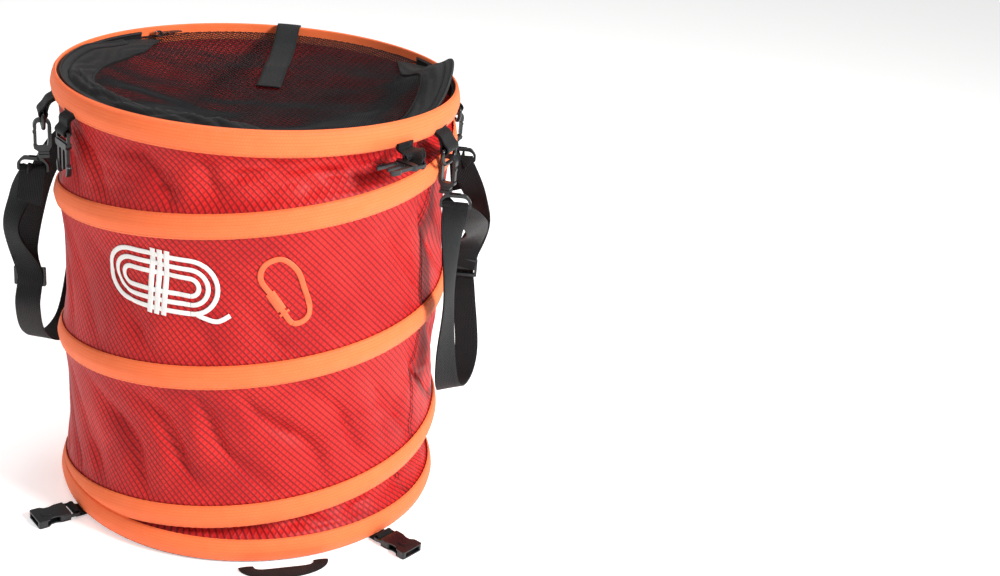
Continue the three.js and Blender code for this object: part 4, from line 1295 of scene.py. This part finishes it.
def snap_hook():
    """The hook's body, from its neck up round the window to the nose; X out, Y up."""
    bm = mould([[
        (6.1, -2.9), (9.2, -2.9), (9.4, 3.4), (6.4, 7.6), (0.8, 8.6), (-5.0, 7.2),
        (-7.7, 3.0), (-7.7, -19.5), (-4.6, -24), (-4.4, -31), (4.4, -31), (4.6, -24.6),
        (9.3, -21.4), (9.3, -17.8), (5.9, -17.8), (5.2, -19.8),
        (-3.6, -19.6), (-4.3, -16), (-4.3, 2.6), (-2.4, 4.7), (4.6, 4.7), (6.0, 3.4),
    ]], -3.3, 3.3, 1.2, radius=2.6)
    mould([mirrored([(5.4, -30.9), (5.4, -27.4)])], -4.2, 4.2, 1.0, bm)
    mould([mirrored([(5.0, -26.6), (5.0, -24.6)])], -3.9, 3.9, 0.8, bm)
    return bm


def hook_gate():
    leaf = [(7.0, -17.5), (9.0, -17.5), (9.0, -3.2), (6.1, -3.2), (6.1, -16.6)]
    bm = mould([leaf], -2.4, 2.4, 0.5, radius=0.8)
    mould([[(8.7, -7.2), (9.7, -6.6), (9.7, -4.6), (8.7, -4.0)]], -2.0, 2.0, 0.3, bm, 0.6)
    return bm


def swivel_eye():
    """The frame that the webbing runs through; X along its bars, Y up."""
    bm = mould([
        mirrored([(15.5, -46), (15.5, -38), (10, -31.3)]),
        mirrored([(13, -42.5), (13, -38.4), (9, -34.8)]),
    ], -2, 2, 0.8, radius=2.4)
    mould([mirrored([(5.2, -33.6), (5.2, -31.3)])], -3.6, 3.6, 0.9, bm)
    return bm


for name, point in ring_at.items():
    side = name.split("_")[0]
    sign = 1 if side == "right" else -1
    out, across, up = around(azimuth_of(point))
    ring = bmesh.new()
    rod(d_ring_path(), 2.0 * MM, 10, True, ring)
    set_in(ring, point, across, DOWN, -out)
    moulded_piece("d_ring_bar_" + name, ring, "ring_" + name, "d_ring_" + name)
    hook_at = point - up * RING_DROP
    strap_body = "strap_" + side
    hook = set_in(snap_hook(), hook_at, out, up, -across)
    moulded_piece("hook_body_" + name, hook, strap_body, "snap_hook_" + name)
    gate = set_in(hook_gate(), hook_at, out, up, -across)
    moulded_piece("hook_gate_leaf_" + name, gate, "gate_" + name, "hook_gate_" + name)
    eye_place = Vector((sign * EYE_X, point.y, hook_at.z))
    eye = set_in(swivel_eye(), eye_place, Vector((1, 0, 0)), up, Vector((0, -1, 0)))
    moulded_piece("eye_frame_" + name, eye, strap_body, "swivel_eye_" + name)


def strap_slider():
    """A three-bar slider; X along the bars, Y up."""
    return mould([
        box_outline(-15.8, -10, 15.8, 10), box_outline(-13, -6.8, 13, -1.9), box_outline(-13, 1.9, 13, 6.8),
    ], -1.7, 1.7, 0.7, radius=1.4)


for side in ("right", "left"):
    slider_bm = set_in(strap_slider(), SLIDER, Vector((1, 0, 0)), Vector((0, 0, 1)), Vector((0, -1, 0)))
    moulded_piece(
        "strap_slider_frame_" + side, slider_bm if side == "right" else half_turn(slider_bm),
        "slider_" + side, "strap_slider_" + side,
    )
print("strap hardware:", len(ring_at), "rings, hooks, gates and eyes")

# %% [markdown]
# ### Zip slider and pull
# Cast zinc with black lacquer. The slider has a shield-shaped body, a bridge over it and a pull that
# hangs from the bridge.

# %% Zip slider and pull
zip_low, zip_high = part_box("zip_slider")
ZIP_AT = (zip_low + zip_high) / 2
ZIP_DEG = azimuth_of(ZIP_AT)
pull_at = Vector(joints["zip_pull_flip"]["pos_m"])
out, across, up = around(ZIP_DEG)
slider_body = mould([mirrored([(4.2, -5), (4.2, 1), (2.8, 5)])], 0, 2.2, 0.6, radius=1.6)
bridge_path = [
    Vector((0, y * MM, z * MM)) for y, z in
    ((-3.7, 1.8), (-3.7, 4.0), (-2.6, 5.0), (0, 5.2), (2.6, 5.0), (3.7, 4.0), (3.7, 1.8))
]
rod(smooth_line(bridge_path, 4), 0.75 * MM, 8, bm=slider_body, flat=1.3)
set_in(slider_body, Vector((ZIP_AT.x, ZIP_AT.y, zip_low.z)), out, across, up)
moulded_piece("zip_slider_body", slider_body, "zip_slider", "zip_slider", finish=zinc, slot="black_metal")
pull_tip = (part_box("zip_pull")[0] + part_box("zip_pull")[1]) / 2
pull_along = pull_tip - pull_at
pull_along.z = 0
pull_along.normalize()
zip_pull = mould([
    mirrored([(1.9, -0.8), (2.9, 0.2), (3.4, 5.6), (3.3, 24.6), (2.0, 26.6)]),
    box_outline(-2.2, 0.8, 2.2, 4.2),
    box_outline(-1.6, 12, 1.6, 22.6),
], -0.5, 0.5, 0.25, radius=1.0)
for rib in (7, 8.6, 10.2):
    mould([box_outline(-2.4, rib - 0.35, 2.4, rib + 0.35)], 0.4, 0.75, 0.15, zip_pull, 0.2)
set_in(zip_pull, pull_at, pull_along.cross(up), pull_along, up)
moulded_piece("zip_pull_tab", zip_pull, "zip_pull", "zip_pull", finish=zinc, slot="black_metal")
print("zip slider at azimuth", round(ZIP_DEG))

# %% [markdown]
# ## Floor and light
# A pale floor and large soft lights, as in a product studio: one bright panel from the right and
# front, a weaker one from the left, and one from above for the lid.

# %% Stage
FLOOR_GLOW = 0.42             # the floor is a lit table
WORLD_LIGHT = 0.36


def make_floor():
    bm = bmesh.new()
    bmesh.ops.create_grid(bm, x_segments=2, y_segments=2, size=40)
    finish = grainy("pale_floor_painted", "#f6f6f5", "#f2f2f1", 4.0, 0.02, 0.7)
    shader = finish.node_tree.nodes["Principled BSDF"]
    shader.inputs["Emission Color"].default_value = (1, 1, 1, 1)
    shader.inputs["Emission Strength"].default_value = FLOOR_GLOW
    floor = finished("floor", bm, finish)
    return floor


def make_light(name, place, size, watts):
    lamp = bpy.data.lights.new(name, "AREA")
    lamp.shape, lamp.size, lamp.energy = "DISK", size, watts
    light = bpy.data.objects.new(name, lamp)
    light.location = place
    light.rotation_euler = (Vector((0, 0, 0.25)) - Vector(place)).to_track_quat("-Z", "Y").to_euler()
    bpy.context.scene.collection.objects.link(light)


make_floor()
make_light("key panel", (1.7, -1.0, 1.4), 0.6, 66)
make_light("fill panel", (-1.9, -1.3, 1.2), 1.6, 9)
make_light("top panel", (-0.2, 0.6, 2.3), 1.4, 24)
world = bpy.data.worlds.new("studio")
world.use_nodes = True
world.node_tree.nodes["Background"].inputs["Color"].default_value = (1, 1, 1, 1)
world.node_tree.nodes["Background"].inputs["Strength"].default_value = WORLD_LIGHT
bpy.context.scene.world = world
bpy.context.scene.view_settings.view_transform = "Standard"
print("stage set")
